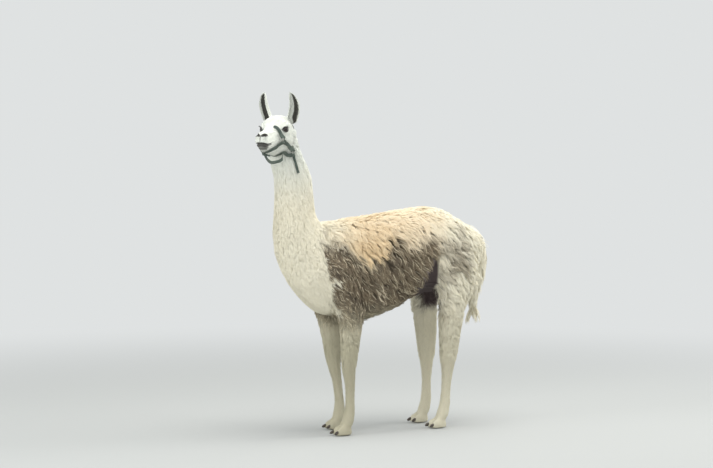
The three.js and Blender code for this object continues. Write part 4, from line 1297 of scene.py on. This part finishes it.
ruff *= np.maximum(soft_step(np.abs(aside), 0.015, 0.045), 0.55 * nape) * (region != "ear")
ruff *= 1 - press * nape
ruff *= soft_step(high, -0.060, -0.010) * (1 - soft_step(high - 0.040 * nape, 0.080, 0.105))
for _, sign in SIDES:
    from_ring = np.linalg.norm(local - THROAT_RING * np.array([1, sign, 1]), axis=1)
    ruff *= soft_step(from_ring, 0.018, 0.034)
ruff_swell = RUFF_SWELL * ruff * (1 - 0.5 * np.random.default_rng(5).random(len(ruff)))
coat("cheek_ruff", "face_wool", wool, ruff > 0.02, count=6000, rings=4, seed=18,
     length=([0.002, 0.009], [0.030, 0.036]), width=([0.002, 0.009], [0.0020, 0.0028]),
     clump=0.016, pull=0.25, wave_size=0.2, relief=0.0, stand=0.15, thick=0.25, roll=0.3,
     uneven=0.1, swell=ruff_swell)
coat("ear_fringe", "face_wool", wool, ear_rim, count=1800, rings=3, seed=19,
     length=([0.002, 0.009], [0.011, 0.013]), width=([0.002, 0.009], [0.0012, 0.0016]),
     clump=0.008, pull=0.3, wave_size=0.2, relief=0.0, stand=1.0, thick=0.3, roll=0.3, uneven=0.2)
coat("tail_wool", "fleece", fleece_material, covers["tail"], count=1500, rings=6, seed=16,
     length=([0.006, 0.014], [0.10, 0.12]), width=([0.006, 0.014], [0.006, 0.008]),
     clump=0.030, pull=0.6, wave_size=0.35, stand=0.5)

# ---------------------------------------------------------------------------------------------
# Eyes: two dark brown balls under wet corneas, with a long level pupil, and stiff dark lashes
# that grow along the rim of the lids.

IRIS_RADIUS = 0.0118
PUPIL_LONG, PUPIL_HIGH = 0.0078, 0.0034
LASH_COUNT, LASH_LONG, LASH_WIDE = 38, 0.0115, 0.0009
LASH_FROM, LASH_SPAN = -0.0185, 0.034
LASH_RINGS, LASH_CURL = 5, 0.0035

eye_material, nodes, shader = finish("eye", 0.12, Coat_Roughness=0.03, Specular_IOR_Level=0.0)
shader.inputs["Coat Weight"].default_value = 1.0
iris = nodes.node("ShaderNodeAttribute", {"attribute_name": "iris"}, out=2)
pupil = nodes.node("ShaderNodeAttribute", {"attribute_name": "pupil"}, out=2)
fibres = nodes.node("ShaderNodeTexCoord", out=3).noise(900.0, 3.0)
brown = fibres.rise(0.3, 0.7).blend(paint(28, 21, 16), paint(50, 38, 28))
plug(pupil.blend(iris.blend(paint(22, 18, 17), brown), paint(7, 7, 7)), shader, "Base Color")
lash_material, nodes, shader = finish("lash", 0.5)
shader.inputs["Base Color"].default_value = (*paint(40, 36, 33), 1.0)

lash_spines, lash_chance = [], np.random.default_rng(31)
for side, _ in SIDES:
    middle = np.array(eye_place(side))
    gaze_axis, nasal_axis = unit(GAZE[side]) @ HEAD_AXES, unit(NASAL[side]) @ HEAD_AXES
    turn = Matrix((nasal_axis, np.cross(gaze_axis, nasal_axis), gaze_axis)).transposed().to_4x4()
    ball = bmesh.new()
    bmesh.ops.create_uvsphere(ball, u_segments=64, v_segments=48, radius=EYEBALL,
                              matrix=Matrix.Translation(middle) @ turn)
    ball_mesh = mesh_of(ball, "eyeball_" + side)
    away = read(ball_mesh.vertices, "co", 3) - middle
    level, rise = away @ nasal_axis, away[:, 2]
    ahead = away @ gaze_axis > 0
    ring = np.sqrt(level ** 2 + rise ** 2)
    slot_reach = np.sqrt((level / PUPIL_LONG) ** 2 + (rise / PUPIL_HIGH) ** 2)
    iris_mask = 1 - soft_step(ring, IRIS_RADIUS - 0.001, IRIS_RADIUS)
    note(ball_mesh, "iris", ahead * iris_mask)
    note(ball_mesh, "pupil", ahead * (1 - soft_step(slot_reach, 0.85, 1.10)))
    ball_mesh.materials.append(eye_material)
    piece_of(ball_mesh, "eye", "eye_" + side)
    for k in range(LASH_COUNT):
        across = LASH_FROM + LASH_SPAN * (k + 0.5) / LASH_COUNT
        bow = max(0.0, 1 - (across / LID_LONG) ** 2)
        turn_in, turn_up = across / EYEBALL, LID_HIGH * bow ** 0.6 / EYEBALL + 0.04
        towards = (gaze_axis * math.cos(turn_in) + nasal_axis * math.sin(turn_in)) * math.cos(turn_up)
        towards = towards + np.array([0, 0, math.sin(turn_up)])
        heading = towards * 0.9 + gaze_axis * 0.35 + nasal_axis * across * 22
        heading = unit(heading + np.array([0, 0, -0.35]))
        heading = unit(heading + lash_chance.normal(0, 0.07, 3))
        reach_out = LASH_LONG * (0.55 + 0.45 * bow) * lash_chance.uniform(0.8, 1.1)
        t = np.linspace(0, 1, LASH_RINGS)[:, None]
        curl = np.array([0, 0, 1.0]) * LASH_CURL * t ** 2
        lash_spines.append(middle + towards * (EYEBALL + 0.0016) + heading * reach_out * t + curl)
lash_spines = np.array(lash_spines).transpose(1, 0, 2)
count = lash_spines.shape[1]
straight_up = np.broadcast_to(np.array([0, 0, 1.0]), lash_spines.shape)
blades("lashes", "face_wool", lash_material, lash_spines[0], lash_spines, straight_up,
       np.zeros((LASH_RINGS, count)), np.full(count, LASH_WIDE), 0.5, np.zeros(count),
       lash_chance.random(count), np.zeros(count))

# ---------------------------------------------------------------------------------------------
# Nails: one dark horn claw on each toe, rounded from the CAD's and streaked along its length.

horn, nodes, shader = finish("horn", 0.45)
place = nodes.node("ShaderNodeTexCoord", out=3)
streaks = place.stretched(300.0, 40.0, 300.0).noise(1.0, 4.0)
plug(streaks.rise(0.35, 0.65).blend(paint(52, 46, 42), paint(96, 86, 76)), shader, "Base Color")
plug(nodes.node("ShaderNodeBump", None, {"Strength": 0.4, "Distance": 0.0005, "Height": streaks}),
     shader, "Normal")
for end in ("front", "hind"):
    for side, _ in SIDES:
        for toe in "ab":
            node = f"{end}_{side}_nail_{toe}"
            mesh = mesh_of(closed_copy([node], 0.0), node + "_horn")
            mesh.materials.append(horn)
            piece = piece_of(mesh, "nail", node)
            rounding = piece.modifiers.new("rounding", "SUBSURF")
            rounding.levels = rounding.render_levels = 1
